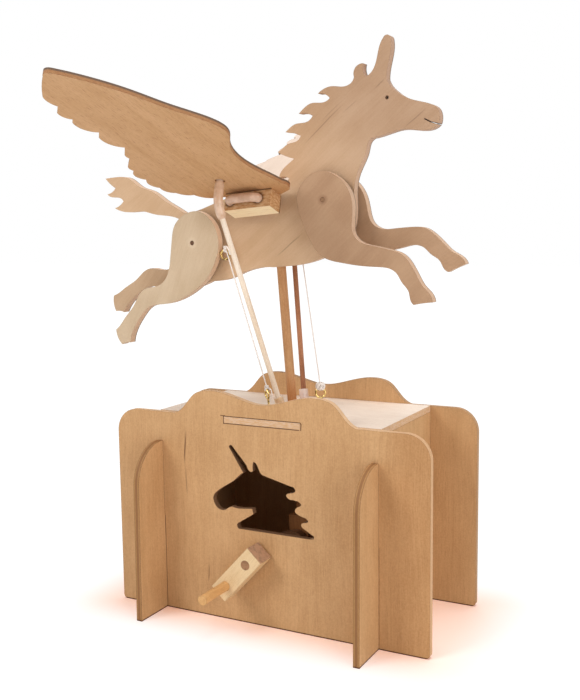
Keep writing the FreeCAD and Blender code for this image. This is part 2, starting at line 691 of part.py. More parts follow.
def leg_pair(word, pivot):
    """Make the axle of a pair of legs and the spacers between the legs and the board."""
    x, z = (number * figure_scale for number in pivot)
    outer = leg_inner + size_of("leg_thickness") - size_of("axle_recess")
    keep(cylinder(f"{word}_leg_axle", in_figure(x, -outer, z), Vector(0, 1, 0), cell("axle_diameter"),
                  f"{2 * outer}"), f"{word}_leg_axle")
    spacers = []
    for side, name in ((NEAR, "near"), (FAR, "far")):
        start = in_figure(x, side * (board_half + size_of("spacer_gap")), z)
        washer = doc.addObject("Part::Cut", f"{word}_{name}_spacer")
        length = f"{cell('leg_gap')} - 2 * {cell('spacer_gap')}"
        washer.Base = cylinder(washer.Name + "_disc", start, Vector(0, side, 0),
                               cell("spacer_diameter"), length)
        washer.Tool = cylinder(washer.Name + "_bore", start, Vector(0, side, 0),
                               f"{cell('axle_diameter')} + 3 * {cell('running_gap')}", length)
        spacers.append(washer)
    group(f"{word}_leg_spacers", spacers)


def rear_leg_eye():
    """Return the rear leg eye's ring centre and the direction of its shank."""
    x, z = (size_of(f"rear_leg_eye_{axis}") * figure_scale for axis in "xz")
    to_pivot = Vector(REAR_PIVOT[0] * figure_scale - x, 0, REAR_PIVOT[1] * figure_scale - z)
    return in_figure(x, -leg_middle, z), along_figure(*to_pivot.normalize())


def front_leg_eye():
    """Return the front leg eye's ring centre and the direction of its shank."""
    x, z = (size_of(f"front_leg_eye_{axis}") * figure_scale for axis in "xz")
    to_pivot = Vector(FRONT_PIVOT[0] * figure_scale - x, 0, FRONT_PIVOT[1] * figure_scale - z)
    return in_figure(x, leg_middle, z), along_figure(*to_pivot.normalize())


def body_board():
    """Make the board that is body, head, horn, mane and tail in one."""
    body, sketch = figure_plate("body_board", BODY_BOARD, (0.0, 0.0), 0.0, "board_thickness")
    for pivot in (FRONT_PIVOT, REAR_PIVOT):
        draw_hole(sketch, tuple(number * figure_scale for number in pivot),
                  f"{cell('axle_diameter')} + 3 * {cell('running_gap')}")
    for place in ("hinge_hole_front", "hinge_hole_rear"):
        draw_hole(sketch, (size_of(place), hinge_level),
                  f"{cell('tube_diameter')} + 2 * {cell('running_gap')}")
    pad(body, sketch, cell("board_thickness"))
    drill(body, in_figure(0, 0, -OVERRUN), rod_axis,
          f"{cell('spigot_diameter')} + 2 * {cell('running_gap')}",
          OVERRUN + size_of("spigot_length") + size_of("spigot_end_gap"))
    for side in (NEAR, FAR):
        surface = in_figure(FIGURE_EYE[0] * figure_scale, side * (board_half + OVERRUN),
                            FIGURE_EYE[1] * figure_scale)
        drill(body, surface, Vector(0, -side, 0), cell("eye_hole_diameter"),
              size_of("eye_hole_depth") + OVERRUN)


def drive_rod():
    """Make the rod that carries the figure, with the spigot that enters the board."""
    socket = size_of("dowel") / 2 + size_of("running_gap") + size_of("socket_wall")
    shank = cylinder("drive_rod_shank", pin + rod_axis * socket, rod_axis, cell("dowel"),
                     f"{cell('rod_length')} - {socket}")
    spigot = cylinder("drive_rod_spigot", in_figure(0, 0, -OVERRUN), rod_axis,
                      cell("spigot_diameter"), f"{cell('spigot_length')} + {OVERRUN}")
    rod = doc.addObject("Part::Fuse", "drive_rod")
    rod.Base = shank
    rod.Tool = spigot
    keep(rod, "drive_rod")

    body = new_body("rod_end_block", Placement(pin + Vector(0, size_of("block_depth") / 2, 0),
                                               figure.Rotation))
    sketch = sketch_on(body, "XZ_Plane")
    half = size_of("block_width") / 2
    draw(sketch, rectangle(-half, -size_of("block_below"), half, size_of("block_above")))
    draw_hole(sketch, (0.0, 0.0), running_bore)
    pad(body, sketch, cell("block_depth"))
    drill(body, pin + rod_axis * (size_of("block_above") + OVERRUN), -rod_axis, running_bore,
          size_of("block_above") + OVERRUN - socket)


def legs():
    """Build the two pairs of legs and their screw eyes."""
    leg("near_front_leg", FRONT_LEG, FRONT_PIVOT, NEAR)
    far_front = leg("far_front_leg", FRONT_LEG, FRONT_PIVOT, FAR, -size_of("far_front_swing"))
    near_rear = leg("near_rear_leg", REAR_LEG, REAR_PIVOT, NEAR)
    leg("far_rear_leg", REAR_LEG, REAR_PIVOT, FAR, size_of("far_rear_swing"))
    leg_pair("front", FRONT_PIVOT)
    leg_pair("rear", REAR_PIVOT)
    for word, owner, (centre, shank) in (
            ("rear", near_rear, rear_leg_eye()),
            ("front", far_front, front_leg_eye())):
        length = size_of(f"{word}_leg_shank") * figure_scale
        screw_eye(f"{word}_leg_eye", centre, shank, length)
        drill(owner, centre, shank, cell("eye_wire") + " + " + cell("running_gap"), length + OVERRUN / 2)


# ---- wings and push rods -----------------------------------------------------------------------


def wing_frame(side):
    """Return a wing's frame: x towards the nose, y across, z square to the wing, on the hinge."""
    hinge = in_figure(0, side * (board_half + size_of("hinge_gap")), hinge_level)
    angle = size_of("near_wing_angle" if side == NEAR else "far_wing_angle")
    return Placement(hinge, figure.Rotation * Rotation(Vector(1, 0, 0), side * angle))


def on_wing(side, x, out, up):
    """Return the model's place of a point given by its distances in a wing's frame."""
    return wing_frame(side).multVec(Vector(x, side * out, up))


def wing_up(side):
    """Return the direction square to a wing."""
    return wing_frame(side).Rotation.multVec(UP)


def rod_hole_place(side):
    """Return how far towards the nose a wing's hole for its push rod is."""
    return size_of("near_rod_hole_place" if side == NEAR else "far_rod_hole_place")


def rod_bend(side):
    """Return the point where a push rod's top tube bends."""
    return on_wing(side, rod_hole_place(side), size_of("rod_hole_reach"),
                   size_of("hinge_block_height") / 2 - size_of("rod_tube_drop"))


def rod_foot(side):
    """Return the point on a push rod's axis that stays over its peg."""
    return Vector(size_of("rod_foot_offset"), side * size_of("rod_foot_spread"),
                  lid_top + size_of("rod_foot_rise"))


def rod_direction(side):
    """Return the direction of a push rod, upwards."""
    return (rod_bend(side) - rod_foot(side)).normalize()


def rod_at_level(side, level):
    """Return the point of a push rod's axis at a height."""
    foot = rod_foot(side)
    direction = rod_direction(side)
    return foot + direction * ((level - foot.z) / direction.z)


def peg_shift(side):
    """Return how far a peg stands inwards of its rod, midway in the rod's sideways travel."""
    return Vector(0, -side * size_of("peg_shift"), 0)


def wing_outline(side):
    """Return the wing's outline with its root edge kept at its clearance.

    The far wing bends forwards from its root, over the width of the sweep.
    """
    root = size_of("near_wing_root" if side == NEAR else "far_wing_root")
    sweep = 0.0 if side == NEAR else size_of("far_wing_sweep")
    factor = (size_of("wing_reach") - root) / (DESIGN_REACH - DESIGN_ROOT)

    def place(x, out):
        share = min(1.0, (out - DESIGN_ROOT) / size_of("wing_sweep_width"))
        return x + sweep * share, side * (root + (out - DESIGN_ROOT) * factor)

    return [[place(x, out) for x, out in stroke] for stroke in WING]


def wing(word, side):
    """Make a wing board with the hole for its push rod's tube."""
    frame = wing_frame(side)
    under = size_of("hinge_block_height") / 2
    body = new_body(f"{word}_wing", frame * Placement(Vector(0, 0, under), Rotation()))
    sketch = sketch_on(body, "XY_Plane")
    draw(sketch, wing_outline(side))
    draw_hole(sketch, (rod_hole_place(side), side * size_of("rod_hole_reach")),
              f"{cell('tube_diameter')} + 2 * {cell('running_gap')}")
    pad(body, sketch, cell("wing_thickness"))


def hinge_block(word, side):
    """Make the block under a wing's root, with the two holes for the hinge tube."""
    start = on_wing(side, 0, size_of("hinge_block_start"), 0)
    body = new_body(f"{word}_hinge_block", Placement(start, wing_frame(side).Rotation))
    sketch = sketch_on(body, "XZ_Plane")
    front = size_of("hinge_block_front")
    half = size_of("hinge_block_height") / 2
    draw(sketch, rectangle(front - size_of("hinge_block_length"), -half, front, half))
    for place in ("hinge_hole_front", "hinge_hole_rear"):
        draw_hole(sketch, (size_of(place), 0.0), f"{cell('tube_diameter')} + 2 * {cell('running_gap')}")
    pad(body, sketch, cell("hinge_block_width"), backwards=side == FAR)


def hinge_tube(word, side):
    """Make the soft tube that loops through the block, with round ends that turn in the board's holes."""
    near_hole = size_of("hinge_hole_front")
    far_hole = size_of("hinge_hole_rear")
    face = size_of("hinge_block_start") + size_of("hinge_block_width")
    bend = size_of("tube_bend")
    corner = bend * (1 - math.sin(math.radians(45)))

    def place(x, out):
        return Vector(x, side * out, 0)

    path = Part.Wire([
        Part.LineSegment(place(far_hole, 0), place(far_hole, face)).toShape(),
        Part.Arc(place(far_hole, face), place(far_hole + corner, face + bend - corner),
                 place(far_hole + bend, face + bend)).toShape(),
        Part.LineSegment(place(far_hole + bend, face + bend), place(near_hole - bend, face + bend)).toShape(),
        Part.Arc(place(near_hole - bend, face + bend), place(near_hole - corner, face + bend - corner),
                 place(near_hole, face)).toShape(),
        Part.LineSegment(place(near_hole, face), place(near_hole, 0)).toShape(),
    ])
    radius = size_of("tube_diameter") / 2
    ring = Part.Wire(Part.Circle(place(far_hole, 0), Vector(0, 1, 0), radius).toShape())
    ends = [Part.makeSphere(radius, place(hole, 0)) for hole in (far_hole, near_hole)]
    feature = doc.addObject("Part::Feature", f"{word}_hinge_tube")
    feature.Shape = path.makePipeShell([ring], True, False).fuse(ends).removeSplitter()
    feature.Placement = wing_frame(side)
    keep(feature, f"{word}_hinge_tube")


def push_rod(word, side):
    """Make a push rod, its top tube in the wing and the sleeves at its two ends."""
    up = wing_up(side)
    bend = rod_bend(side)
    gap = size_of("rod_bend_gap")
    knuckle = doc.addObject("Part::Sphere", f"{word}_rod_knuckle")
    knuckle.Placement = Placement(bend, Rotation())
    tie(knuckle, Radius=cell("tube_diameter") + " / 2")
    top_tube = doc.addObject("Part::Fuse", f"{word}_rod_top_tube")
    top_tube.Base = cylinder(f"{word}_rod_tube_stem", bend, up, cell("tube_diameter"),
                             f"{cell('rod_tube_drop')} + {cell('rod_tube_entry')}")
    top_tube.Tool = knuckle
    keep(top_tube, f"{word}_rod_top_tube")
    direction = rod_direction(side)
    head = bend - direction * (size_of("tube_diameter") / 2 + gap)
    peg_top = lid_top + size_of("peg_height")
    foot = rod_at_level(side, peg_top + size_of("peg_rod_gap"))
    keep(cylinder(f"{word}_push_rod", foot, direction, cell("push_rod_diameter"),
                  f"{(head - foot).Length}"), f"{word}_push_rod")
    inner = f"{cell('push_rod_diameter')} + 2 * {cell('running_gap')}"
    tube(f"{word}_rod_top_sleeve", head, -direction, cell("tube_diameter"), inner, cell("rod_top_sleeve"))
    tube(f"{word}_rod_foot_sleeve", rod_at_level(side, lid_top + size_of("sleeve_lift")), direction,
         cell("tube_diameter"), inner, cell("rod_foot_sleeve"))


def wings():
    """Build both wings, their hinges and their push rods."""
    middles = []
    for side, word in ((NEAR, "near"), (FAR, "far")):
        wing(word, side)
        hinge_block(word, side)
        hinge_tube(word, side)
        push_rod(word, side)
    half = board_half + size_of("hinge_gap") - size_of("tube_diameter") / 2 - size_of("tube_end_gap")
    for place in ("hinge_hole_front", "hinge_hole_rear"):
        start = in_figure(size_of(place), -half, hinge_level)
        middles.append(cylinder(place + "_middle", start, Vector(0, 1, 0), cell("tube_diameter"),
                                f"{2 * half}"))
    group("hinge_tube_middles", middles)


# ---- cords -------------------------------------------------------------------------------------


def cord(label, lid_eye, leg_eye, side):
    """Make the straight cord between two screw eyes, beside their wires on the outer side."""
    beside = size_of("eye_wire") / 2 + size_of("cord_diameter") / 2 + size_of("cord_gap")
    start = lid_eye + Vector(0, side * beside, 0)
    span = leg_eye - lid_eye
    keep(cylinder(label, start, span, cell("cord_diameter"), f"{span.Length}"), label)


box()
crank()
body_board()
drive_rod()
legs()
wings()
cord("rear_cord", rear_lid_eye()[0], rear_leg_eye()[0], NEAR)
cord("front_cord", front_lid_eye()[0], front_leg_eye()[0], FAR)
doc.recompute()

failed = [item.Label for item in doc.Objects if {"Invalid", "Error"} & set(item.State)]
failed += [node.Label for node in nodes if node.Shape.isNull() or not node.Shape.isValid()]
if failed:
    raise RuntimeError("failed objects: " + ", ".join(failed))
os.makedirs("parts", exist_ok=True)
for node in nodes:
    node.Shape.exportStep(f"parts/{node.Label}.step")
    print(f"{node.Label}: {len(node.Shape.Solids)} solid(s), {node.Shape.Volume:.1f} mm3")
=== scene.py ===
"""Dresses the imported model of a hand-cranked wooden automaton, and lights it for a studio view.

The sizes are in millimetres in the model's frame: +X along the box towards the figure's head,
-Y the crank's side and +Z up. NEAR is the crank's side.
"""

from __future__ import annotations

import json
import logging
import math
from dataclasses import dataclass, field, replace
from enum import Enum
from functools import reduce
from typing import Callable, Optional, Sequence, Union

import bpy
from mathutils import Matrix, Quaternion, Vector

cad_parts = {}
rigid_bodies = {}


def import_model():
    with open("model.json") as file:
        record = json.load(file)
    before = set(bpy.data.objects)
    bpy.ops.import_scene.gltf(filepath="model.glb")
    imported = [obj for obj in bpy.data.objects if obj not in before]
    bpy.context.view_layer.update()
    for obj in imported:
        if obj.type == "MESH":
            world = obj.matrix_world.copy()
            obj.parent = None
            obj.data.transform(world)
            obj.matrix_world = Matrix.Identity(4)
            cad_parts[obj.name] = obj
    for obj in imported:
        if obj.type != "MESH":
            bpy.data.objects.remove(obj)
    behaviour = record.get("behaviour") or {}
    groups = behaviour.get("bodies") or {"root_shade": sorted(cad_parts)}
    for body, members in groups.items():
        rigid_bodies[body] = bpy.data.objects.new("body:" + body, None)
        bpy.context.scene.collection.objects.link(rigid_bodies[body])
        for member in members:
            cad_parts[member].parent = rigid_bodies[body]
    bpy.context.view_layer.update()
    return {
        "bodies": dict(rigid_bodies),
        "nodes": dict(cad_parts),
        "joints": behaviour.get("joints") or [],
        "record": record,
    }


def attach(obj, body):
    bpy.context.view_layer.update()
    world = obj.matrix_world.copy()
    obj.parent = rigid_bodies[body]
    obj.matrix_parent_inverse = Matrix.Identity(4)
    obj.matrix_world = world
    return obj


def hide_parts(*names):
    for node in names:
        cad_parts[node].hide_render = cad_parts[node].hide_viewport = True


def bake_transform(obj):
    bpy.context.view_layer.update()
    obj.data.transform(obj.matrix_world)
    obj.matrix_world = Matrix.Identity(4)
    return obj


LOG = logging.getLogger("automaton")
MM = 0.001
FRAME_HEIGHT = 700
DOT = 0.1  # a round mark is a stroke of this length, in millimetres
AHEAD, BACK, FRONT, UP = (Vector(v) for v in ((1, 0, 0), (0, 1, 0), (0, -1, 0), (0, 0, 1)))
Colour = tuple[float, float, float]
Spot = tuple[float, float]
Path = list[Vector]
Material = bpy.types.Material


def paint(red: int, green: int, blue: int) -> Colour:
    """Turn a colour of 0 to 255 on the screen into the linear one that a shader takes."""
    shares = [channel / 255 for channel in (red, green, blue)]
    return tuple(s / 12.92 if s < 0.04045 else ((s + 0.055) / 1.055) ** 2.4 for s in shares)


def lerp(first: Vector, second: Vector, share: float) -> Vector:
    """Return the point a share of the way from the first to the second."""
    return first + (second - first) * share


# ---- shader expressions ------------------------------------------------------------------------


class Signal:
    """A value in a material. An expression on signals adds the Math nodes that work it out."""

    def __init__(self, graph: "ShaderGraph", socket: bpy.types.NodeSocket) -> None:
        """Wrap one output socket of a graph."""
        self.graph = graph
        self.socket = socket

    def _math(self, operation: str, *values: "Number") -> "Signal":
        """Add one Math node and return its result."""
        return self.graph.signal("Math", {"operation": operation}, dict(enumerate(values)))

    def __add__(self, other: "Number") -> "Signal":
        """Return self + other."""
        return self._math("ADD", self, other)

    __radd__ = __add__

    def __sub__(self, other: "Number") -> "Signal":
        """Return self - other."""
        return self._math("SUBTRACT", self, other)

    def __rsub__(self, other: "Number") -> "Signal":
        """Return other - self."""
        return self._math("SUBTRACT", other, self)

    def __mul__(self, other: "Number") -> "Signal":
        """Return self * other."""
        return self._math("MULTIPLY", self, other)

    __rmul__ = __mul__

    def __truediv__(self, other: "Number") -> "Signal":
        """Return self / other."""
        return self._math("DIVIDE", self, other)

    def __abs__(self) -> "Signal":
        """Return the size of self without its sign."""
        return self._math("ABSOLUTE", self)

    def larger(self, other: "Number") -> "Signal":
        """Return the larger of the two."""
        return self._math("MAXIMUM", self, other)

    def smaller(self, other: "Number") -> "Signal":
        """Return the smaller of the two."""
        return self._math("MINIMUM", self, other)

    def fade(self, zero_at: float, one_at: float) -> "Signal":
        """Return a soft step, from 0 at one value of self to 1 at the other."""
        settings = {"interpolation_type": "SMOOTHSTEP"}
        return self.graph.signal("MapRange", settings, {0: self, 1: zero_at, 2: one_at})


Number = Union[Signal, float]


def opaque(colour: Union[Signal, Colour]) -> Union[Signal, tuple[float, ...]]:
    """Give a plain colour the alpha that a colour socket takes."""
    return colour if isinstance(colour, Signal) else (*colour, 1.0)


class ShaderGraph:
    """The node tree of one material, or of the world."""

    RIM_GAIN = 3.4
    BEVEL_SAMPLES = 4
    SEEN_RAYS = ("Is Camera Ray", "Is Glossy Ray", "Is Transmission Ray")

    def __init__(self, owner: Union[Material, bpy.types.World]) -> None:
        """Start an empty tree.

        Args:
            owner: The new material or world that the tree belongs to.
        """
        self.owner = owner
        owner.use_nodes = True
        self.tree = owner.node_tree
        self.tree.nodes.clear()

    def node(self, kind: str, settings: Optional[dict] = None,
             inputs: Optional[dict] = None) -> bpy.types.Node:
        """Add a node.

        Args:
            kind: The node's type name, without the ShaderNode that it begins with.
            settings: Its own properties, set before its sockets.
            inputs: Socket name or number to a signal, a number, a vector or a colour.

        Returns:
            The new node.
        """
        made = self.tree.nodes.new("ShaderNode" + kind)
        for key, value in (settings or {}).items():
            setattr(made, key, value)
        for key, value in (inputs or {}).items():
            if isinstance(value, Signal):
                self.tree.links.new(value.socket, made.inputs[key])
            else:
                made.inputs[key].default_value = value
        return made

    def signal(self, kind: str, settings: Optional[dict] = None, inputs: Optional[dict] = None,
               output: Union[int, str] = 0) -> Signal:
        """Add a node and return one of its outputs; the arguments are those of node."""
        return Signal(self, self.node(kind, settings, inputs).outputs[output])

    def place(self) -> Signal:
        """Return the point on the object, in its own frame, which is the model's frame at rest."""
        return self.signal("TexCoord", output="Object")

    def facing(self) -> Signal:
        """Return the surface's direction in the object's own frame."""
        return self.signal("TexCoord", output="Normal")

    def vector(self, operation: str, *values: Union[Signal, Vector],
               output: Union[int, str] = 0) -> Signal:
        """Return what a Vector Math node makes of one or two vectors."""
        return self.signal("VectorMath", {"operation": operation}, dict(enumerate(values)), output)

    def dot(self, first: Signal, second: Union[Signal, Vector]) -> Signal:
        """Return how far one vector reaches along another."""
        return self.vector("DOT_PRODUCT", first, second, output="Value")

    def length(self, vector: Signal) -> Signal:
        """Return the length of a vector."""
        return self.vector("LENGTH", vector, output="Value")

    def scale(self, vector: Union[Signal, Vector], factor: Number) -> Signal:
        """Return a vector times a number."""
        return self.signal("VectorMath", {"operation": "SCALE"}, {0: vector, "Scale": factor})

    def reach(self, place: Signal, start: Vector, end: Vector) -> Signal:
        """Measure the way to a straight stroke.

        Args:
            place: The point to measure from.
            start: The stroke's start, in millimetres.
            end: The stroke's end, in millimetres.

        Returns:
            The distance in millimetres.
        """
        run = end - start
        from_start = self.vector("SUBTRACT", place, start * MM)
        share = (self.dot(from_start, run) / (run.length_squared * MM)).larger(0.0).smaller(1.0)
        return self.length(self.vector("SUBTRACT", from_start, self.scale(run * MM, share))) / MM

    def between(self, place: Signal, start: Vector, end: Vector) -> Signal:
        """Return how far a place is from the start towards the end, from 0 to 1."""
        run = end - start
        return self.dot(place, run).fade(start.dot(run) * MM, end.dot(run) * MM)

    def noise(self, vector: Signal, detail: float = 2.0, roughness: float = 0.5) -> Signal:
        """Return cloudy noise with features about one unit of the vector wide."""
        inputs = {"Vector": vector, "Scale": 1.0, "Detail": detail, "Roughness": roughness}
        return self.signal("TexNoise", inputs=inputs)

    def blend(self, share: Number, first: Union[Signal, Colour], second: Union[Signal, Colour],
              how: str = "MIX") -> Signal:
        """Return two colours mixed in one of the Mix node's ways; a share of 0 is the first."""
        return self.signal("Mix", {"data_type": "RGBA", "blend_type": how},
                           {0: share, 6: opaque(first), 7: opaque(second)}, 2)

    def seen(self) -> Signal:
        """Return 1 for the camera's rays, and for those that metal mirrors or glass lets through."""
        rays = (self.signal("LightPath", output=name) for name in self.SEEN_RAYS)
        return reduce(Signal.larger, rays)

    def rounded(self, radius: float) -> Signal:
        """Return the surface's direction with its edges rounded, in the world's frame."""
        return self.signal("Bevel", {"samples": self.BEVEL_SAMPLES}, {"Radius": radius * MM})

    def rim(self, radius: float) -> Signal:
        """Return a mask that is 1 on sharp edges and 0 beyond a distance from them."""
        true = self.signal("NewGeometry", output="True Normal")
        return ((1.0 - self.dot(self.rounded(radius), true)) * self.RIM_GAIN).smaller(1.0)

    def bump(self, height: Signal, distance: float, **base: Signal) -> Signal:
        """Return the direction of a surface raised by a signal, by a distance in millimetres."""
        inputs = {"Height": height, "Distance": distance * MM, "Strength": 1.0, **base}
        return self.signal("Bump", inputs=inputs)

    def finish(self, colour: Signal, **sockets: object) -> Material:
        """End the tree in a Principled shader.

        Args:
            colour: The base colour.
            sockets: Other sockets by name, with underscores for spaces.

        Returns:
            The finished material.
        """
        inputs = {"Base Color": colour}
        inputs |= {name.replace("_", " "): value for name, value in sockets.items()}
        shader = self.signal("BsdfPrincipled", inputs=inputs)
        self.node("OutputMaterial", inputs={"Surface": shader})
        return self.owner


# ---- finishes ----------------------------------------------------------------------------------

PORE_TONE = paint(150, 98, 58)
VEIN_TONE = paint(92, 56, 32)
CORE_TONE = paint(128, 84, 50)


@dataclass(frozen=True)
class Layer:
    """A layer of noise in wood: its features in a millimetre along, across and through it.

    Through is as across where it isn't given. The gain is how strongly the layer changes the tone;
    WANDER's is in millimetres, and moves the lines of the other layers sideways.
    """

    along: float
    across: float
    detail: float = 2.0
    roughness: float = 0.5
    gain: float = 1.0
    through: Optional[float] = None

    def read(self, graph: ShaderGraph, along: Signal, across: Signal, depth: Signal) -> Signal:
        """Return the noise at a place, in millimetres along, across and through the board."""
        fine = {0: along * self.along, 1: across * self.across, 2: depth * (self.through or self.across)}
        return graph.noise(graph.signal("CombineXYZ", inputs=fine), self.detail, self.roughness)


WANDER = Layer(0.014, 0.03, gain=9.0)
BANDS = Layer(0.006, 0.11, 3.0, gain=2.2)
FIBRES = Layer(0.045, 1.5, 3.0, 0.65, gain=1.6)
PORES = Layer(0.16, 2.4, 1.0)
CLOUDS = Layer(0.03, 0.05, gain=2.6)
LINES = Layer(0.02, 0.5, gain=2.0)
SPECKLE = Layer(0.9, 0.9, roughness=0.6, gain=1.8)
PATCHES = Layer(0.2, 0.3, 3.0)
MOTTLE = Layer(0.4, 0.4, 3.0, through=1.6)


@dataclass(frozen=True)
class Streak:
    """A dark vein in a board: where it lies along and across the grain, and its half sizes."""

    along: float
    across: float
    half_length: float
    half_width: float
    strength: float
    straight: bool = False

    def mask(self, along: Signal, across: Signal) -> Signal:
        """Return where the streak shows, from 0 to its strength.

        Args:
            along: The place along the grain, in millimetres.
            across: The place across the grain.

        Returns:
            The mask.
        """
        soft = 0.97 if self.straight else 0.2
        lengthways = abs(along - self.along).fade(self.half_length, self.half_length * soft)
        sideways = abs(across - self.across).fade(self.half_width, self.half_width * 0.2)
        return lengthways * sideways * self.strength


@dataclass(frozen=True)
class Mark:
    """A drawn or scorched stroke, or a stroke of painted shade, between two points, through the board or
    only near them.
    """

    start: Vector
    end: Vector
    half_width: float
    colour: Colour
    strength: float = 1.0
    soft: float = 0.35
    through: bool = True

    def over(self, graph: ShaderGraph, place: Signal, face: Vector, wood: Signal) -> Signal:
        """Draw the stroke over a colour.

        Args:
            graph: The tree to add to.
            place: The point on the board, with its depth taken off where the stroke goes through.
            face: The board's face direction.
            wood: The colour below.

        Returns:
            The colour with the stroke on it.
        """
        start, end = self.start, self.end
        if self.through:
            start, end = start - face * start.dot(face), end - face * end.dot(face)
        away = graph.reach(place, start, end)
        near = away.fade(self.half_width * (1 + self.soft), self.half_width * (1 - self.soft))
        return graph.blend(near * self.strength, wood, self.colour)


@dataclass(frozen=True)
class Drift:
    """A slow change of a board's colour from one point to another, as a factor on it."""

    start: Vector
    end: Vector
    factor: Colour

    def over(self, graph: ShaderGraph, place: Signal, colour: Signal) -> Signal:
        """Return a colour with the drift on it."""
        share = graph.between(place, self.start, self.end)
        return graph.blend(share, colour, self.factor, "MULTIPLY")


@dataclass(frozen=True)
class Edge:
    """The look of a board's cut edge, from 0 at the back of the board to 1 at its face; on the hinge
    blocks the colour is painted shade.
    """

    colour: Colour
    low: float
    high: float
    core: float = 0.0
    rim_dark: float = 0.0
    dark_from: float = 0.0
    dark_to: float = 0.0
    dark_colour: Colour = paint(92, 78, 68)
    burnt_at: Optional[Vector] = None
    burnt_reach: float = 0.0
    burnt_colour: Colour = paint(96, 60, 38)


@dataclass(frozen=True)
class Timber:
    """Bare wood: a board with a face direction, or a rod when the face is only a way across it."""

    name: str
    pale: Colour
    deep: Colour
    grain: Vector
    face: Vector
    edge: Optional[Edge] = None
    bands: float = 0.35
    fibres: float = 0.4
    lines: float = 0.35
    speckle: float = 0.35
    flecks: float = 0.2
    blotch: float = 0.3
    rim: float = 0.25
    rim_width: float = 0.6
    char: Colour = paint(122, 84, 54)
    end_grain: Optional[Colour] = None
    streaks: tuple[Streak, ...] = ()
    marks: tuple[Mark, ...] = ()
    drifts: tuple[Drift, ...] = ()
    rough: float = 0.6

    def build(self) -> Material:
        """Make the material.

        Returns:
            The finished material.
        """
        graph = ShaderGraph(bpy.data.materials.new(self.name))
        grain = self.grain.normalized()
        face = self.face.normalized()
        place = graph.place()
        along = graph.dot(place, grain) / MM
        across = graph.dot(place, face.cross(grain).normalized()) / MM
        depth = graph.dot(place, face) / MM
        facing = graph.facing()

        line = across + (WANDER.read(graph, along, across, depth) - 0.5) * WANDER.gain
        layers = (BANDS, FIBRES, PORES, CLOUDS, LINES)
        bands, fibres, pores, clouds, lines = (x.read(graph, along, line, depth) for x in layers)
        speckle = SPECKLE.read(graph, along, across, depth)
        tone: Number = 0.5
        for noise, share in ((bands, BANDS.gain * self.bands), (fibres, FIBRES.gain * self.fibres),
                             (clouds, CLOUDS.gain * self.blotch), (lines, LINES.gain * self.lines),
                             (speckle, SPECKLE.gain * self.speckle)):
            tone = tone + (noise - 0.5) * share
        wood = graph.blend(tone.fade(-0.1, 1.1), self.pale, self.deep)
        wood = graph.blend(pores.fade(0.60, 0.70) * self.flecks, wood, PORE_TONE)
        for streak in self.streaks:
            wood = graph.blend(streak.mask(along, across if streak.straight else line), wood, VEIN_TONE)
        if self.end_grain:
            ends = abs(graph.dot(facing, grain)).fade(0.7, 0.9)
            patch = PATCHES.read(graph, along, across, depth)
            deeper = tuple(channel * 0.72 for channel in self.end_grain)
            wood = graph.blend(ends, wood, graph.blend(patch.fade(0.42, 0.66), self.end_grain, deeper))
        rim = graph.rim(self.rim_width)
        if self.edge:
            side = abs(graph.dot(facing, face)).fade(0.75, 0.35)
            wood = graph.blend(side, wood, self._cut(graph, depth, along, across))
            rim = rim * (1.0 - side * (1.0 - self.edge.rim_dark))
        wood = graph.blend(rim * self.rim, wood, self.char)
        for drift in self.drifts:
            wood = drift.over(graph, place, wood)
        flat = graph.vector("SUBTRACT", place, graph.scale(face, depth * MM)) if self.marks else place
        for mark in self.marks:
            wood = mark.over(graph, flat if mark.through else place, face, wood)
        normal = graph.bump(fibres * 0.6 + pores.fade(0.70, 0.58) * 0.4, 0.04,
                            Normal=graph.rounded(0.3))
        rough = self.rough + (fibres - 0.5) * 0.12
        return graph.finish(wood, Roughness=rough, Normal=normal, Specular_IOR_Level=0.3)

    def _cut(self, graph: ShaderGraph, depth: Signal, along: Signal, across: Signal) -> Signal:
        """Colour the board's cut edge, with its layers where it is plywood.

        Args:
            graph: The tree to add to.
            depth: The place through the board, in millimetres.
            along: The place along the grain.
            across: The place across the grain.

        Returns:
            The edge's colour.
        """
        edge = self.edge
        level = (depth - edge.low) / (edge.high - edge.low)
        mottle = MOTTLE.read(graph, along, across, depth)
        colour = graph.blend(mottle.fade(0.3, 0.7) * 0.4, edge.colour, self.deep)
        if edge.core:
            core = abs(level - 0.5).fade(0.26, 0.16)
            colour = graph.blend(core * edge.core, colour, CORE_TONE)
        if edge.dark_from != edge.dark_to:
            dark = level.fade(edge.dark_from, edge.dark_to)
            colour = graph.blend(dark * 0.85, colour, edge.dark_colour)
        if edge.burnt_at is not None:
            away = graph.length(graph.vector("SUBTRACT", graph.place(), edge.burnt_at * MM)) / MM
            burnt = away.fade(edge.burnt_reach + 2.0, edge.burnt_reach)
            colour = graph.blend(burnt * 0.85, colour, edge.burnt_colour)
        return colour


@dataclass(frozen=True)
class SoftTube:
    """Milky soft tubing that lets some light through."""

    name: str
    body: Colour
    shade: Colour
    low: Optional[Drift] = None
    haze_per_metre: float = 240.0
    dust_per_metre: float = 1500.0

    def build(self) -> Material:
        """Make the material.

        Returns:
            The finished material.
        """
        graph = ShaderGraph(bpy.data.materials.new(self.name))
        place = graph.place()
        haze = graph.noise(graph.scale(place, self.haze_per_metre), 3.0)
        colour = graph.blend(haze.fade(0.3, 0.7), self.body, self.shade)
        if self.low:
            colour = self.low.over(graph, place, colour)
        dust = graph.noise(graph.scale(place, self.dust_per_metre))
        return graph.finish(colour, Roughness=0.28 + dust * 0.2, Normal=graph.bump(dust, 0.02),
                            Subsurface_Weight=0.15, Subsurface_Radius=(0.003, 0.002, 0.0015),
                            Subsurface_Scale=1.0, Coat_Weight=0.35, Coat_Roughness=0.15)


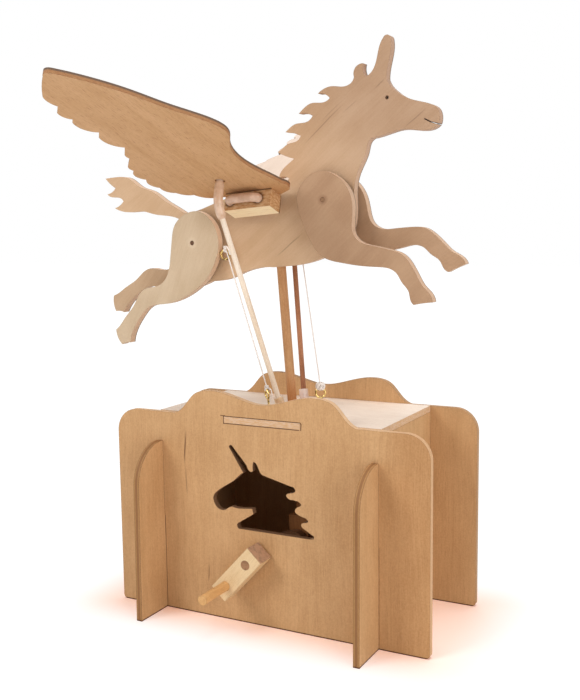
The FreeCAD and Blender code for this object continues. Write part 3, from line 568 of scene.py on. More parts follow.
@dataclass(frozen=True)
class Brass:
    """Bright drawn brass wire with a little tarnish, and dark patches that are partly painted
    reflection.
    """

    name: str = "brass_wire"
    bright: Colour = paint(240, 212, 140)
    tarnish: Colour = paint(150, 112, 52)
    # dark colours patches that are partly tarnish and partly painted dark reflection.
    dark: Colour = paint(84, 58, 28)
    spots_per_metre: float = 700.0
    patches_per_metre: float = 330.0

    def build(self) -> Material:
        """Make the material.

        Returns:
            The finished material.
        """
        graph = ShaderGraph(bpy.data.materials.new(self.name))
        spots = graph.noise(graph.scale(graph.place(), self.spots_per_metre), 4.0)
        tarnish_and_reflection = graph.noise(graph.scale(graph.place(), self.patches_per_metre), 1.0)
        colour = graph.blend(spots.fade(0.45, 0.75) * 0.6, self.bright, self.tarnish)
        # Dark patches: partly tarnish, partly painted dark reflection.
        colour = graph.blend(tarnish_and_reflection.fade(0.54, 0.64) * 0.8, colour, self.dark)
        return graph.finish(colour, Metallic=1.0, Roughness=0.2 + spots * 0.2)


@dataclass(frozen=True)
class Thread:
    """White twisted cord."""

    name: str = "white_cord"
    light: Colour = paint(255, 250, 246)
    dim: Colour = paint(226, 216, 208)
    fuzz_per_metre: float = 2600.0

    def build(self) -> Material:
        """Make the material.

        Returns:
            The finished material.
        """
        graph = ShaderGraph(bpy.data.materials.new(self.name))
        fuzz = graph.noise(graph.scale(graph.place(), self.fuzz_per_metre), 4.0)
        colour = graph.blend(fuzz.fade(0.3, 0.8), self.light, self.dim)
        return graph.finish(colour, Roughness=0.85, Normal=graph.bump(fuzz, 0.05),
                            Sheen_Weight=0.3, Subsurface_Weight=0.1,
                            Subsurface_Radius=(0.001, 0.001, 0.001))


# ---- meshes ------------------------------------------------------------------------------------

Girth = Callable[[float, float], float]


def round_girth(radius: float) -> Girth:
    """Return the girth of a plain round solid."""
    return lambda along, angle: radius


def twisted_girth(radius: float, strands: int, pitch: float, relief: float) -> Girth:
    """Return the girth of a cord of strands that are laid round each other.

    Args:
        radius: The cord's outer radius.
        strands: How many strands there are.
        pitch: The length of one turn.
        relief: The depth of the grooves, as a share of the radius.

    Returns:
        A function of the place along the cord and the angle round it.
    """
    def girth(along: float, angle: float) -> float:
        """Return the radius at one place."""
        phase = strands * (angle - 2 * math.pi * along / pitch)
        return radius * (1 - relief * (0.5 - 0.5 * math.cos(phase)) ** 2)
    return girth


def smooth_run(points: Sequence[Vector], steps: int, closed: bool = False) -> Path:
    """Return a smooth path through points.

    Args:
        points: The points it passes through.
        steps: How many pieces it has between two points.
        closed: Whether it returns to its start.

    Returns:
        The points of the path.
    """
    count = len(points)
    path: Path = []
    for k in range(count if closed else count - 1):
        p0 = points[(k - 1) % count] if closed or k else points[0] * 2 - points[1]
        p1, p2 = points[k], points[(k + 1) % count]
        p3 = points[(k + 2) % count] if closed or k + 2 < count else p2 * 2 - p1
        for step in range(steps):
            t = step / steps
            path.append(0.5 * (2 * p1 + (p2 - p0) * t + (2 * p0 - 5 * p1 + 4 * p2 - p3) * t ** 2
                               + (3 * p1 - p0 - 3 * p2 + p3) * t ** 3))
    if not closed:
        path.append(points[-1].copy())
    return path


def straight_run(first: Vector, second: Vector, step: float) -> Path:
    """Return the points of a straight line, about a step apart."""
    pieces = max(1, round((second - first).length / step))
    return [lerp(first, second, k / pieces) for k in range(pieces + 1)]


def add_object(name: str, data: bpy.types.ID) -> bpy.types.Object:
    """Make an object and put it in the scene.

    Args:
        name: The object's name.
        data: Its mesh, lamp or camera.

    Returns:
        The new object.
    """
    made = bpy.data.objects.new(name, data)
    bpy.context.scene.collection.objects.link(made)
    return made


@dataclass
class Surface:
    """Collects the faces of one piece, in millimetres, and turns them into an object."""

    name: str
    points: list[Vector] = field(default_factory=list)
    faces: list[tuple[int, ...]] = field(default_factory=list)

    def sweep(self, path: Path, girth: Girth, sides: int = 20, closed: bool = False) -> "Surface":
        """Add a solid swept along a path.

        Args:
            path: The points of its middle line.
            girth: The radius at a place along the path and an angle round it.
            sides: How many sides it has.
            closed: Whether the path returns to its start.

        Returns:
            The surface itself.
        """
        count = len(path)
        first = len(self.points)
        along = 0.0
        across = None
        for k, centre in enumerate(path):
            before = path[k - 1] if closed or k else path[k]
            after = path[(k + 1) % count] if closed or k + 1 < count else path[k]
            tangent = (after - before).normalized()
            if across is None:
                across = tangent.orthogonal().normalized()
            across = (across - tangent * across.dot(tangent)).normalized()
            other = tangent.cross(across)
            if k:
                along += (centre - path[k - 1]).length
            for side in range(sides):
                angle = 2 * math.pi * side / sides
                out = across * math.cos(angle) + other * math.sin(angle)
                self.points.append(centre + out * girth(along, angle))
        for ring in range(count if closed else count - 1):
            low, high = first + ring * sides, first + (ring + 1) % count * sides
            for side in range(sides):
                turn = (side + 1) % sides
                self.faces.append((low + side, low + turn, high + turn, high + side))
        if not closed:
            self.faces.append(tuple(first + side for side in reversed(range(sides))))
            last = first + (count - 1) * sides
            self.faces.append(tuple(last + side for side in range(sides)))
        return self

    def build(self, material: Material) -> bpy.types.Object:
        """Make the object, with smooth sides and flat ends.

        Args:
            material: Its finish.

        Returns:
            The new object.
        """
        mesh = bpy.data.meshes.new(self.name)
        mesh.from_pydata([point * MM for point in self.points], [], self.faces)
        mesh.materials.append(material)
        mesh.polygons.foreach_set("use_smooth", [len(face) == 4 for face in self.faces])
        LOG.info("%s: %d faces", self.name, len(self.faces))
        return add_object(self.name, mesh)


# ---- the model's own frame ---------------------------------------------------------------------


class Side(Enum):
    """The two sides of the figure, as the sign of Y."""

    NEAR = -1
    FAR = 1

    @property
    def word(self) -> str:
        """Return the side's name in the names of nodes and bodies."""
        return self.name.lower()


@dataclass(frozen=True)
class FigureFrame:
    """Where the figure stands at rest, and where its wings and push rods are hinged."""

    origin: Vector = Vector((-9.689, 0.0, 235.081))
    lean: float = math.radians(4.402)
    board_half: float = 3.175
    hinge_out: float = 5.775
    hinge_up: float = 40.15
    near_wing_angle: float = math.radians(20.0)
    far_wing_angle: float = math.radians(23.0)
    block_half: float = 6.2
    block_in: float = 3.0
    block_out: float = 17.0
    block_rear: float = -27.0
    block_front: float = 7.8
    tube_holes: tuple[float, float] = (-1.5, -22.8)
    near_rod_hole: float = -19.5
    far_rod_hole: float = -11.9
    rod_hole_out: float = 36.8
    rod_drop: float = 15.2
    lid_top: float = 138.6
    foot: tuple[float, float, float] = (-2.3, 17.4, 4.4)
    front_pivot: Spot = (40.8, 40.8)
    rear_pivot: Spot = (-62.4, 21.5)

    @property
    def ahead(self) -> Vector:
        """Return the figure's own x direction."""
        return Vector((math.cos(self.lean), 0.0, math.sin(self.lean)))

    @property
    def upwards(self) -> Vector:
        """Return the drive rod's direction."""
        return Vector((-math.sin(self.lean), 0.0, math.cos(self.lean)))

    def point(self, x: float, y: float, z: float) -> Vector:
        """Return the model's place of a point of the figure."""
        return self.origin + self.ahead * x + Vector((0.0, y, 0.0)) + self.upwards * z

    def beside(self, spot: Spot, y: float) -> Vector:
        """Return the model's place of a spot on the figure's plane, moved sideways."""
        return self.point(spot[0], y, spot[1])

    def slant(self, degrees: float) -> Vector:
        """Return a direction in the figure's plane, at an angle above its x direction."""
        angle = math.radians(degrees)
        return self.ahead * math.cos(angle) + self.upwards * math.sin(angle)

    def wing_angle(self, side: Side) -> float:
        """Return a wing's angle above level."""
        return self.near_wing_angle if side is Side.NEAR else self.far_wing_angle

    def wing_out(self, side: Side) -> Vector:
        """Return the direction from a wing's hinge to its tip."""
        level, angle = Vector((0.0, side.value, 0.0)), self.wing_angle(side)
        return level * math.cos(angle) + self.upwards * math.sin(angle)

    def wing_up(self, side: Side) -> Vector:
        """Return the direction square to a wing's upper face."""
        level, angle = Vector((0.0, -side.value, 0.0)), self.wing_angle(side)
        return level * math.sin(angle) + self.upwards * math.cos(angle)

    def on_wing(self, side: Side, x: float, out: float, up: float) -> Vector:
        """Return the model's place of a point given in a wing's frame."""
        hinge = self.point(x, side.value * self.hinge_out, self.hinge_up)
        return hinge + self.wing_out(side) * out + self.wing_up(side) * up

    def rod_bend(self, side: Side) -> Vector:
        """Return where a push rod's top tube bends."""
        hole = self.near_rod_hole if side is Side.NEAR else self.far_rod_hole
        return self.on_wing(side, hole, self.rod_hole_out, self.block_half - self.rod_drop)

    def rod_line(self, side: Side) -> Vector:
        """Return a push rod's direction, upwards."""
        x, out, rise = self.foot
        return (self.rod_bend(side) - Vector((x, side.value * out, self.lid_top + rise))).normalized()


def spread(node: str, axis: Vector) -> tuple[float, float]:
    """Return how far a node reaches along an axis, lowest and highest, in millimetres."""
    reach = [vertex.co.dot(axis) / MM for vertex in bpy.data.objects[node].data.vertices]
    return min(reach), max(reach)


def dress(nodes: dict, material: Material, *names: str) -> None:
    """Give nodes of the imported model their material.

    Args:
        nodes: The model's objects by name.
        material: The finish that they share.
        names: The nodes to dress.
    """
    for name in names:
        mesh = nodes[name].data
        mesh.materials.clear()
        mesh.materials.append(material)
        LOG.info("%s: dressed in %s", name, material.name)


# ---- sub-assemblies ----------------------------------------------------------------------------


@dataclass
class Case:
    """The slot-together plywood box: five panels.

    Each of lid_burns is the x and y of a hole in the lid, and its burn's reach and strength.
    """

    nodes: dict
    pale: Colour = paint(214, 173, 127)
    deep: Colour = paint(188, 145, 99)
    # The lid's two tones are its paler wood with painted light from above on it.
    lid_pale_lit: Colour = paint(246, 233, 219)
    lid_deep_lit: Colour = paint(230, 212, 196)
    panel_edge: Edge = Edge(paint(228, 192, 152), 0.0, 1.0, rim_dark=0.1,
                            burnt_at=Vector((-6.0, -46.4, 88.0)), burnt_reach=46.0)
    back_edge: Edge = Edge(paint(176, 138, 100), 0.0, 1.0, rim_dark=0.9)
    fin_edge: Edge = Edge(paint(162, 120, 74), 0.0, 1.0, core=0.65, rim_dark=1.0)
    lid_edge: Edge = Edge(paint(210, 168, 124), 0.0, 1.0)
    burn: Colour = paint(80, 46, 26)
    half_length: float = 115.0
    half_depth: float = 78.4
    tab_half: float = 28.3
    tab_low: float = 134.1
    tab_high: float = 138.9
    char: Colour = paint(104, 66, 40)
    lid_burns: tuple[tuple[float, float, float, float], ...] = (
        (-2.3, 0.0, 4.2, 0.8), (-15.2, -9.4, 1.3, 0.9), (14.5, 9.4, 1.2, 0.8))
    front_streaks: tuple[Streak, ...] = (
        Streak(115.0, 58.0, 14.0, 0.9, 0.8),
        Streak(92.0, 57.0, 12.0, 0.8, 0.4),
        Streak(30.0, 43.6, 8.0, 0.7, 0.5),
        Streak(33.0, 77.1, 33.0, 0.35, 0.8, straight=True),
        Streak(33.0, -81.9, 33.0, 0.3, 0.6, straight=True),
    )

    def build(self) -> None:
        """Dress the panels, each with its grain and its burnt edges, and paint the right fin's shade on
        the front panel's right end.
        """
        along = self._stroke((-self.half_length, 0, 0), (self.half_length, 0, 0), 0.8, 0.95)
        across = self._stroke((0, -self.half_depth, 0), (0, self.half_depth, 0), 0.8, 0.95)
        # Painted shade: the front panel darkens towards its right end, where the right fin shades it.
        end = Drift(AHEAD * 78, AHEAD * 100, (0.88, 0.81, 0.74))
        self._panel("front_panel", UP, FRONT, self.panel_edge, (along, *self._tab_slot()),
                    self.front_streaks, (end,))
        self._panel("back_panel", UP, FRONT, self.back_edge, (along,))
        for name in ("left_side_panel", "right_side_panel"):
            self._panel(name, UP, AHEAD, self.fin_edge, (across,))
        holes = tuple(self._stroke((x, y, 0), (x + DOT, y, 0), reach, strength)
                      for x, y, reach, strength in self.lid_burns)
        self._panel("top_panel", AHEAD, UP, self.lid_edge, holes)

    def _stroke(self, start: tuple, end: tuple, half_width: float, strength: float) -> Mark:
        """Return a burnt line between two places."""
        return Mark(Vector(start), Vector(end), half_width, self.burn, strength)

    def _tab_slot(self) -> tuple[Mark, ...]:
        """Draw the burnt outline of the slot that the lid's tab fills.

        Returns:
            Its strokes.
        """
        left, right, low, high = -self.tab_half, self.tab_half, self.tab_low, self.tab_high
        shoulder = (right + 0.7, high - 1.0)
        lines = (((left, low), (left, high)), ((left - 2.2, high + 0.3), (left + 1.0, high + 0.3)),
                 ((left, low), (right - 1.0, low)), ((left, high), (right, high)),
                 ((right, high), shoulder), (shoulder, (right + 0.4, low)))
        return tuple(self._stroke((x0, 0, z0), (x1, 0, z1), 0.34, 0.8)
                     for (x0, z0), (x1, z1) in lines)

    def _panel(self, name: str, grain: Vector, face: Vector, edge: Edge, marks: tuple[Mark, ...],
               streaks: tuple[Streak, ...] = (), drifts: tuple[Drift, ...] = ()) -> None:
        """Dress one panel in plywood.

        Args:
            name: The panel's node.
            grain: The direction of its grain.
            face: The direction that it faces.
            edge: The look of its cut edge.
            marks: What is burnt on it.
            streaks: The dark veins in its face.
            drifts: How its colour changes along it.
        """
        low, high = spread(name, face)
        if name == "top_panel":
            # The lid's tones carry painted light from above.
            look = {"pale": self.lid_pale_lit, "deep": self.lid_deep_lit, "rim": 0.0,
                    "bands": 0.12, "fibres": 0.25, "lines": 0.12, "speckle": 0.3}
        else:
            look = {"pale": self.pale, "deep": self.deep, "rim": 0.75,
                    "bands": 0.16, "fibres": 0.42, "lines": 0.22, "speckle": 0.5}
        wood = Timber(name=f"{name}_plywood", grain=grain, face=face, char=self.char,
                      edge=replace(edge, low=low, high=high), rim_width=1.0 if face.x else 0.5,
                      streaks=streaks, marks=marks, drifts=drifts, **look)
        dress(self.nodes, wood.build(), name)


@dataclass
class Crank:
    """The arm, the handle, the shaft, the webs and the collars."""

    nodes: dict
    pale: Colour = paint(238, 212, 170)
    deep: Colour = paint(218, 186, 140)
    angle: float = math.radians(227.0)
    pin_angle: float = math.radians(15.0)

    def build(self) -> None:
        """Dress the crank's pieces."""
        arm = Vector((math.cos(self.angle), 0.0, math.sin(self.angle)))
        web = Vector((math.cos(self.pin_angle), 0.0, math.sin(self.pin_angle)))
        block = Timber("crank_arm_wood", self.pale, self.deep, arm, FRONT,
                       end_grain=paint(196, 156, 126), rim=0.3)
        webs = Timber("crank_web_wood", paint(158, 112, 78), paint(122, 80, 52), web, FRONT)
        handle = Timber("crank_handle_wood", paint(232, 188, 130), paint(204, 152, 94), FRONT, AHEAD)
        hidden = Timber("inner_dowel_wood", paint(176, 128, 88), paint(138, 92, 58), FRONT, AHEAD)
        shaft = replace(handle, name="front_shaft_wood", end_grain=paint(168, 126, 92))
        dress(self.nodes, block.build(), "crank_arm")
        dress(self.nodes, webs.build(), "front_crank_web", "rear_crank_web")
        dress(self.nodes, handle.build(), "crank_handle")
        dress(self.nodes, hidden.build(), "rear_crankshaft", "front_crank_pin", "rear_crank_pin",
              "front_shaft_collar", "rear_shaft_collar")
        dress(self.nodes, shaft.build(), "front_crankshaft")


@dataclass(frozen=True)
class Board:
    """One flat piece of the figure: its node, its grain's slant in degrees and its two tones."""

    name: str
    slant: float
    pale: Colour
    deep: Colour


@dataclass
class Figure:
    """The flat winged horse: its board, its legs, its wings and their blocks, and the drive rod."""

    nodes: dict
    frame: FigureFrame
    body: Board = Board("body_board", 34.0, paint(219, 188, 155), paint(200, 165, 129))
    legs: tuple[Board, ...] = (
        Board("near_front_leg", 40.0, paint(190, 156, 125), paint(170, 134, 104)),
        Board("far_front_leg", 30.0, paint(196, 162, 131), paint(176, 141, 110)),
        Board("near_rear_leg", 62.0, paint(213, 193, 166), paint(196, 173, 143)),
        Board("far_rear_leg", 44.0, paint(206, 178, 147), paint(188, 156, 123)),
    )
    edge_colour: Colour = paint(216, 184, 156)
    # Real scorch on the mouth, and painted shade on the hinge blocks.
    scorch_and_shade: Colour = paint(62, 38, 26)
    body_streaks: tuple[Streak, ...] = (
        Streak(222.5, 242.2, 22.0, 0.7, 0.34),
        Streak(232.0, 244.9, 11.0, 0.6, 0.2),
        Streak(267.7, 235.6, 5.5, 0.6, 0.3),
        Streak(271.7, 202.2, 11.0, 0.6, 0.34),
        Streak(244.2, 237.6, 8.0, 0.6, 0.2),
        Streak(153.4, 196.9, 15.0, 0.7, 0.36),
    )
    eye: Spot = (86.4, 100.0)
    mouth: tuple[Spot, ...] = ((110.2, 83.4), (113.9, 81.05), (118.8, 79.15), (119.8, 78.5))

    def build(self) -> None:
        """Dress the figure's wooden pieces."""
        frame = self.frame
        # Painted shade: the body board darkens towards the head, which gets less light.
        head = Drift(frame.point(18, 0, 30), frame.point(94, 0, 86), (0.75, 0.71, 0.72))
        lips = (self._stroke(*pair, 0.42, self.scorch_and_shade) for pair in zip(self.mouth, self.mouth[1:]))
        marks = (self._dot(self.eye, 1.0, paint(26, 20, 17)), *lips)
        self._board(self.body, marks, self.body_streaks, (head,))
        rings = {"near_front_leg": (frame.front_pivot, 3.2, paint(140, 100, 72), 0.45),
                 "near_rear_leg": (frame.rear_pivot, 3.7, paint(232, 214, 190), 0.28)}
        for leg in self.legs:
            self._board(leg, (self._dot(*rings[leg.name]),) if leg.name in rings else ())
        for side in Side:
            self._wing(side)
            self._block(side)
        # Painted shade: the drive rod darkens and reddens towards its foot, by the hole in the lid.
        foot = Drift(frame.point(0, 0, -66), frame.point(0, 0, -92), (0.86, 0.66, 0.5))
        rod = Timber("drive_rod_wood", paint(212, 166, 120), paint(172, 122, 78),
                     frame.upwards, FRONT, drifts=(foot,))
        pin = Timber("pivot_dowel_wood", paint(158, 122, 90), paint(96, 70, 52), BACK, AHEAD,
                     blotch=0.8)
        washer = Timber("spacer_wood", self.body.pale, self.body.deep, BACK, AHEAD)
        dress(self.nodes, rod.build(), "drive_rod", "rod_end_block")
        dress(self.nodes, pin.build(), "front_leg_axle", "rear_leg_axle", "near_rod_peg",
              "far_rod_peg")
        dress(self.nodes, washer.build(), "front_leg_spacers", "rear_leg_spacers")

    def _stroke(self, start: Spot, end: Spot, half_width: float, colour: Colour,
                strength: float = 0.9) -> Mark:
        """Return a stroke between two spots on the figure's plane."""
        first, second = (self.frame.beside(spot, 0) for spot in (start, end))
        return Mark(first, second, half_width, colour, strength)

    def _dot(self, spot: Spot, reach: float, colour: Colour, strength: float = 0.9) -> Mark:
        """Return a round mark on the figure's plane."""
        return self._stroke(spot, (spot[0] + DOT, spot[1]), reach, colour, strength)

    def _board(self, board: Board, marks: tuple[Mark, ...], streaks: tuple[Streak, ...] = (),
               drifts: tuple[Drift, ...] = ()) -> None:
        """Dress one flat board of the figure.

        Args:
            board: The board.
            marks: What is drawn on it.
            streaks: The dark veins in its face.
            drifts: How its colour changes along it.
        """
        edge = Edge(self.edge_colour, *spread(board.name, FRONT), rim_dark=0.5, dark_from=0.22,
                    dark_to=0.06, dark_colour=paint(128, 108, 94))
        wood = Timber(f"{board.name}_basswood", board.pale, board.deep,
                      self.frame.slant(board.slant), FRONT, edge, blotch=0.5, flecks=0.08,
                      fibres=0.28, lines=0.14, speckle=0.25, bands=0.3,
                      streaks=streaks, marks=marks, drifts=drifts)
        dress(self.nodes, wood.build(), board.name)

    def _wing(self, side: Side) -> None:
        """Dress one wing.

        Args:
            side: Its side of the figure.
        """
        up = self.frame.wing_up(side)
        name = f"{side.word}_wing"
        edge = Edge(paint(160, 112, 74), *spread(name, up), rim_dark=0.6, dark_from=0.5,
                    dark_to=0.72)
        if side is Side.NEAR:
            # Painted shade: the near wing's underside darkens towards its root, next to the block and
            # the body.
            root_shade = Drift(self.frame.on_wing(side, 0, 34, 0), self.frame.on_wing(side, 0, 10, 0),
                         (0.93, 0.84, 0.76))
            look = {"pale": paint(212, 172, 130), "deep": paint(192, 150, 104), "flecks": 0.55,
                    "speckle": 0.35, "drifts": (root_shade,)}
        else:
            # The far wing's pale, pinkish tone is partly its wood and partly painted light on its upper
            # face.
            look = {"pale": paint(232, 213, 197), "deep": paint(218, 197, 180), "flecks": 0.12,
                    "speckle": 0.15}
        wing = Timber(name=f"{name}_plywood", grain=self.frame.wing_out(side), face=up, edge=edge,
                      rim=0.4, **look)
        dress(self.nodes, wing.build(), name)

    def _block(self, side: Side) -> None:
        """Dress the hinge block under one wing, with painted shade on its sides, in its tube holes and
        along its edges, and painted light on its lower face.

        Args:
            side: Its side of the figure.
        """
        frame, up = self.frame, self.frame.wing_up(side)
        name = f"{side.word}_hinge_block"
        # Painted shade: the block's sides take a darker colour for the shade under the wing.
        edge = Edge(paint(184, 132, 82), *spread(name, up), rim_dark=0.8)
        outer, inner, half = frame.block_out, frame.block_in, frame.block_half
        rear, front = frame.block_rear, frame.block_front
        # Painted shade: dark spots in the tube holes, a painted shadow under the wing along the outer
        # top edge, and painted shade where the inner end meets the board.
        strokes = [((x, outer, 0), (x + DOT, outer, 0), 4.0, 0.85) for x in frame.tube_holes]
        strokes += [((rear, outer, half), (front, outer, half), 0.9, 0.7),
                    ((front, inner, -half), (front, inner, half), 0.7, 0.8)]
        marks = tuple(Mark(frame.on_wing(side, *start), frame.on_wing(side, *end), width,
                           self.scorch_and_shade, strength, through=False)
                      for start, end, width, strength in strokes)
        # The faces along the wing are pale wood brightened with painted light bounced from the floor
        # onto the lower face.
        block = Timber(f"{name}_wood", paint(255, 240, 204), paint(246, 222, 182), frame.ahead, up,
                       edge, rim=0.45, marks=marks)
        dress(self.nodes, block.build(), name)


@dataclass
class HingeTubes:
    """The two soft loops that hinge the wings, from the board's holes round through the blocks."""

    frame: FigureFrame
    material: Material
    radius: float = 3.1
    bulge: float = 3.6

    def build(self) -> None:
        """Build both loops."""
        for side in Side:
            self._loop(side)

    def _loop(self, side: Side) -> None:
        """Build one loop between the figure and its wing.

        Args:
            side: Its side of the figure.
        """
        frame = self.frame
        front, rear = frame.tube_holes
        middle = (front + rear) / 2
        legs = [[frame.point(hole, side.value * out, frame.hinge_up) for out in (0.05, 1.6, 3.0)]
                + [frame.on_wing(side, hole, out, 0.0) for out in (3.4, 9.0, frame.block_out)]
                for hole in (front, rear)]
        crown = [frame.on_wing(side, x, frame.block_out + self.bulge * share, 0.0)
                 for x, share in ((front - 1.2, 0.55), (front - 4.6, 0.95), (middle, 1.0),
                                  (rear + 4.6, 0.95), (rear + 1.2, 0.55))]
        path = smooth_run(legs[0] + crown + legs[1][::-1], 6)
        loop = Surface(f"{side.word}_hinge_loop").sweep(path, round_girth(self.radius), 28)
        made = loop.build(self.material)
        nodes = [f"{side.word}_hinge_tube"] + (["hinge_tube_middles"] if side is Side.NEAR else [])
        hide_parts(*nodes)
        start = frame.point(middle, side.value * frame.board_half, frame.hinge_up)
        end = frame.on_wing(side, middle, frame.block_in, 0.0)
        start * MM
        end * MM
        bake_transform(made)


@dataclass
class PushRods:
    """The two wooden push rods with their soft tubes at top and foot."""

    nodes: dict
    frame: FigureFrame
    tube: Material
    foot_low: float = 140.6
    foot_high: float = 142.4
    radius: float = 3.1
    neck: float = 2.3
    entry: float = 2.0
    sleeve: float = 10.5
    knee: float = 5.5
    knee_inside: float = 1.4

    def build(self) -> None:
        """Dress the rods and their foot sleeves, and build their bent top tubes."""
        woods = {Side.NEAR: (paint(248, 236, 220), paint(226, 204, 178)),
                 Side.FAR: (paint(190, 132, 96), paint(146, 92, 62))}
        for side, (pale, deep) in woods.items():
            rod = Timber(f"{side.word}_push_rod_wood", pale, deep, self.frame.rod_line(side), FRONT,
                         bands=0.7)
            dress(self.nodes, rod.build(), f"{side.word}_push_rod")
            self._top_tube(side)
        low, high = UP * self.foot_low, UP * self.foot_high
        clear = SoftTube("near_foot_tube", paint(226, 194, 156), paint(206, 170, 130),
                         Drift(high, low, (0.9, 0.82, 0.86)))
        milky = SoftTube("far_foot_tube", paint(236, 214, 202), paint(214, 186, 172),
                         Drift(high, low, (0.72, 0.66, 0.66)))
        dress(self.nodes, clear.build(), "near_rod_foot_sleeve")
        dress(self.nodes, milky.build(), "far_rod_foot_sleeve")

    def _top_tube(self, side: Side) -> None:
        """Build the tube that joins a wing to its push rod.

        Args:
            side: Its side of the figure.
        """
        frame = self.frame
        bend = frame.rod_bend(side)
        up, down = frame.wing_up(side), -frame.rod_line(side)
        points = [bend + up * (frame.rod_drop + self.entry), bend + up * (frame.rod_drop - 4.0),
                  bend + up * self.knee, bend + up * self.knee_inside + down * self.knee_inside,
                  bend + down * self.knee, bend + down * self.sleeve]
        path = smooth_run(points, 8)
        whole = sum((b - a).length for a, b in zip(path, path[1:]))

        def girth(along: float, angle: float) -> float:
            """Return the tube's radius, which is less in the wing's hole and at the rod's end."""
            share = min(1.0, max(0.0, (along - self.entry) / 3.0), (whole - along) / 4.0 + 0.25)
            return self.neck + (self.radius - self.neck) * share * share * (3 - 2 * share)

        made = Surface(f"{side.word}_rod_tube").sweep(path, girth, 28).build(self.tube)
        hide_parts(f"{side.word}_rod_top_tube", f"{side.word}_rod_top_sleeve")
        (bend + up * 5.0) * MM
        (bend + down * 3.0) * MM
        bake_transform(made)


@dataclass(frozen=True)
class Tie:
    """One end of a cord: the wire it goes round, and the knot and loose tail beside it."""

    wire: Vector
    tangent: Vector
    knot: Vector
    axis: Vector
    size: float
    tail: tuple[Vector, ...] = ()
    strand: float = 0.5
    turns: int = 1
    slack: float = 0.0


